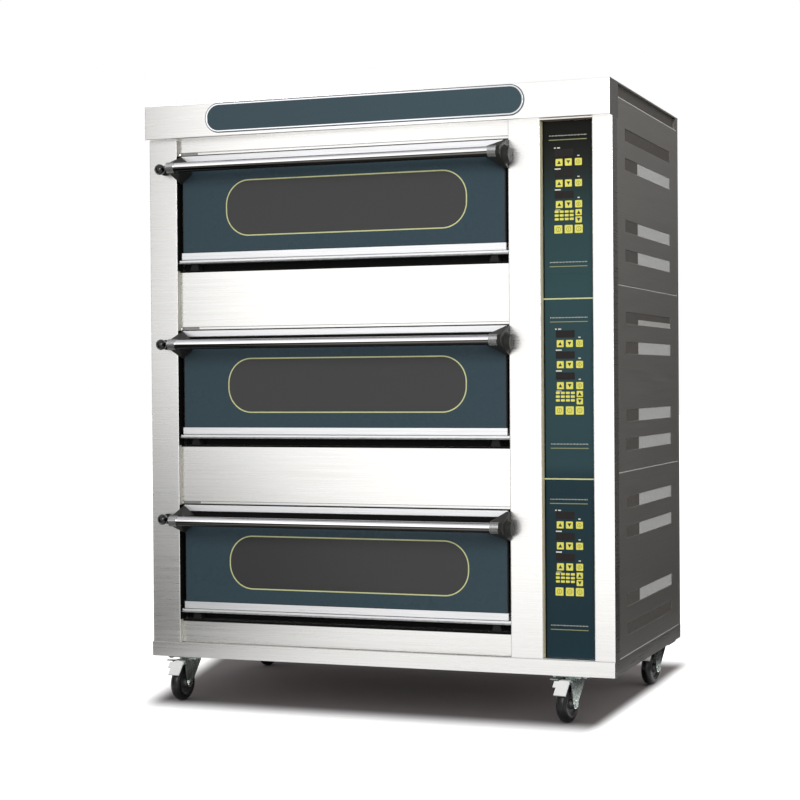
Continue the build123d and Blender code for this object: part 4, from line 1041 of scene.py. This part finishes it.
# %% Turn the tyres and hubs
TYRE_RADIUS = 50.0
TREAD_RISE = 14.0
TREAD_ANGLES = [math.pi / 2 * (k / 8 - 1) for k in range(17)]
TREAD = [(15.0 * math.sin(a), TYRE_RADIUS - TREAD_RISE + TREAD_RISE * math.cos(a))
         for a in TREAD_ANGLES]
TYRE = [(-14.0, 30.0), (-15.0, 32.0), *TREAD, (15.0, 32.0), (14.0, 30.0), (-14.0, 30.0)]
HUB_SIDE = [(-19.0, 6.1), (-19.0, 11.0), (-18.0, 12.0), (-9.0, 14.0), (-9.0, 26.0),
            (-13.5, 28.0), (-13.5, 30.2)]
HUB = HUB_SIDE + [(-reach, radius) for reach, radius in reversed(HUB_SIDE)] + [HUB_SIDE[0]]
JOINTS = {joint["name"]: joint for joint in frame["joints"]}
for corner in CORNERS:
    low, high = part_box(f"caster_wheel_{corner}")
    centre, axle = (low + high) / 2, JOINTS[f"axle_{corner}"]["axis"]
    tyre, hub = bmesh.new(), bmesh.new()
    turned(tyre, TYRE, centre, axle)
    add_part(f"tyre_{corner}", tyre, "wheel_rubber", body=f"wheel_{corner}")
    turned(hub, HUB, centre, axle)
    disc = add_part(f"wheel_hub_{corner}", hub, "gland_nylon",
                    body=f"wheel_{corner}")
    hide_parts(f"caster_wheel_{corner}")
print("tyres of", 2 * TYRE_RADIUS, "mm")

# %% [markdown]
# ## Mesh behind the side slots
# The slots in the right side are backed with a fine upright grid.  Light catches it towards
# the back, and that is painted: most slots get a pale screen and pale bars there, painted light,
# and dark bars in front, painted shade.  Thin bars stand in front of the screens, close together,
# and real gaps between them give some real shade too.

# %% Fill the slots with bars
LOW_ROWS = (53.0, 130.0, 310.0, 389.0)
SLOT_FLOORS = (LOW_ROWS, LOW_ROWS, (64.0, 142.0, 306.0, 383.0))
SLOT_HEIGHT = 32.0
SLOT_START, SLOT_END = 135.0, 690.0
SLOT_OVERLAP = 4.0
PAINTED_LIGHT_FROM = 288.0
BAR_PITCH = 9.0
BAR_HALF = 1.1
SCREEN_X, BAR_X = (668.05, 668.3), (668.3, 668.7)
# slots left in painted shade, without a painted-light screen, and the one with half a screen, as
# (deck, row)
PAINTED_SHADE_SLOTS = ((0, 0), (2, 3))
HALF_PAINTED_LIGHT_SLOT = (1, 3)
painted_light_screens, painted_light_bars, painted_shade_bars = bmesh.new(), bmesh.new(), bmesh.new()
for deck in range(len(DECKS)):
    for row, slot_floor in enumerate(SLOT_FLOORS[deck]):
        slot = (deck, row)
        low_v, high_v = slot_floor - SLOT_OVERLAP, slot_floor + SLOT_HEIGHT + SLOT_OVERLAP
        if slot not in PAINTED_SHADE_SLOTS:
            top_v = slot_floor + 14.0 if slot == HALF_PAINTED_LIGHT_SLOT else high_v
            block(painted_light_screens, at(SCREEN_X[0], PAINTED_LIGHT_FROM, low_v, deck),
                  at(SCREEN_X[1], SLOT_END + 3, top_v, deck))
        for k in range(int((SLOT_END - SLOT_START) / BAR_PITCH)):
            depth = SLOT_START + BAR_PITCH / 2 + k * BAR_PITCH
            painted_lit = depth > PAINTED_LIGHT_FROM and slot not in (*PAINTED_SHADE_SLOTS, HALF_PAINTED_LIGHT_SLOT)
            block(painted_light_bars if painted_lit else painted_shade_bars, at(BAR_X[0], depth - BAR_HALF, low_v, deck),
                  at(BAR_X[1], depth + BAR_HALF, high_v, deck))
print("bars every", BAR_PITCH, "mm")


# %% Close the ends of the slots
def flanks(inner, outer):
    """The same stretch across, (from, to), on the left side of the oven and on the right."""
    return [sorted((side * inner, side * outer)) for side in (-1, 1)]


ends = bmesh.new()
for deck in range(len(DECKS)):
    for slot_floor in SLOT_FLOORS[deck]:
        for near, far in flanks(668.2, 669.8):
            block(ends, at(near, SLOT_END - 0.8, slot_floor, deck),
                  at(far, SLOT_END - 0.1, slot_floor + SLOT_HEIGHT, deck))
add_part("slot_ends", ends, "vent_mesh", smooth=False)
# Pale screens and bars are painted light; the darker bars in front are painted shade.
add_part("slot_painted_light_screens", painted_light_screens, "mesh_painted_light")
add_part("slot_bars_painted_light", painted_light_bars, "galvanised", smooth=False)
add_part("slot_bars_painted_shade", painted_shade_bars, "vent_mesh", smooth=False)

# %% [markdown]
# ## Seams of the sides
# The three panels of each side meet in open seams, and the top one stops under the roof vent.
# The cut edge of the sheet shows in each of them as a fine line, with a painted highlight.

# %% Lay the bright edges
# each seam is (bottom, top, start behind the columns)
SEAMS = ((0.2, 1.6, 52.0), (486.8, 488.4, 52.0), (978.0, 979.6, 52.0), (1467.2, 1469.6, 66.0))
SEAM_END = 779.0
seams, ends_of_vent = bmesh.new(), bmesh.new()
for low_v, high_v, start in SEAMS:
    for near, far in flanks(667.0, 669.8):
        block(seams, at(near, start, low_v), at(far, SEAM_END, high_v))
for near, far in flanks(667.0, 669.9):
    block(ends_of_vent, at(near, 777.6, 1469.8), at(far, 779.4, 1506.0))
add_part("vent_ends", ends_of_vent, "vent_mesh")
add_part("side_seams", seams, "edge_painted_highlight", ease=0.2)

# %% [markdown]
# ## Caster hardware
# A caster is bolted on through the four corners of its plate, swivels on a ball race and carries
# its wheel on an axle with a domed nut at each end.  Bolts and nuts are turned parts with six
# sides or many, so one helper makes all of them.

# %% Fit bolts, races and nuts
NUT_WASHER = [(22.6, 0.0), (22.6, 11.5), (23.8, 11.5), (23.8, 9.0)]
NUT = [(23.8, 9.0), (25.5, 9.0), (27.0, 6.5), (27.5, 3.0), (27.5, 0.0)]
RACE = [(117.0, 24.0), (117.0, 31.0), (118.4, 33.0), (119.6, 33.0), (121.0, 31.5),
        (121.0, 24.0), (117.0, 24.0)]
BOLT = [(121.0, 6.8), (117.6, 6.8), (117.2, 5.8), (117.2, 0.0)]
BOLT_SPOTS = [(u, v) for u in (-42.0, 42.0) for v in (-31.0, 31.0)]
UP = (0, 0, 1)
for corner in CORNERS:
    low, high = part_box(f"caster_wheel_{corner}")
    centre, axle = (low + high) / 2, Vector(JOINTS[f"axle_{corner}"]["axis"])
    nuts, race = bmesh.new(), bmesh.new()
    for side in (-1, 1):
        turned(nuts, NUT_WASHER, centre, side * axle, steps=32)
        turned(nuts, NUT, centre, side * axle, steps=6)
    add_part(f"axle_nuts_{corner}", nuts, "bright_zinc", body=f"fork_{corner}",
             smooth=False)
    pivot = Vector(JOINTS[f"swivel_{corner}"]["pos_m"])
    pivot.z = 0.0
    turned(race, RACE, pivot, UP)
    for u, v in BOLT_SPOTS:
        turned(race, BOLT, pivot + Vector((u * MM, v * MM, 0.0)), UP, steps=6)
    add_part(f"race_and_bolts_{corner}", race, "zinc")
print(len(CORNERS) * len(BOLT_SPOTS), "bolts")

# %% [markdown]
# ## Screws of the back
# The three back panels come off for work on the wiring.  Each is held by pan-head screws down
# both edges and along its seams, turned here as low domes.

# %% Screw on the back panels
SCREW_HEAD = [(-1.5, 5.0), (1.0, 5.0), (2.0, 3.8), (2.6, 1.6), (2.6, 0.0)]
# each row is (height, screws across)
SCREW_ROWS = ((18.0, 5), (247.0, 2), (476.0, 5))
SCREW_INSET = 16.0
low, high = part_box("back_panels")
first, last = low.x + SCREW_INSET * MM, high.x - SCREW_INSET * MM
screws = bmesh.new()
for deck in range(len(DECKS)):
    for row, columns in SCREW_ROWS:
        for k in range(columns):
            x = first + k * (last - first) / (columns - 1)
            spot = Vector((x, high.y, at(0.0, 0.0, row, deck).z))
            turned(screws, SCREW_HEAD, spot, (0, 1, 0), steps=20)
add_part("back_screws", screws, "bright_zinc")
print(len(DECKS) * sum(columns for row, columns in SCREW_ROWS), "screws on the back")
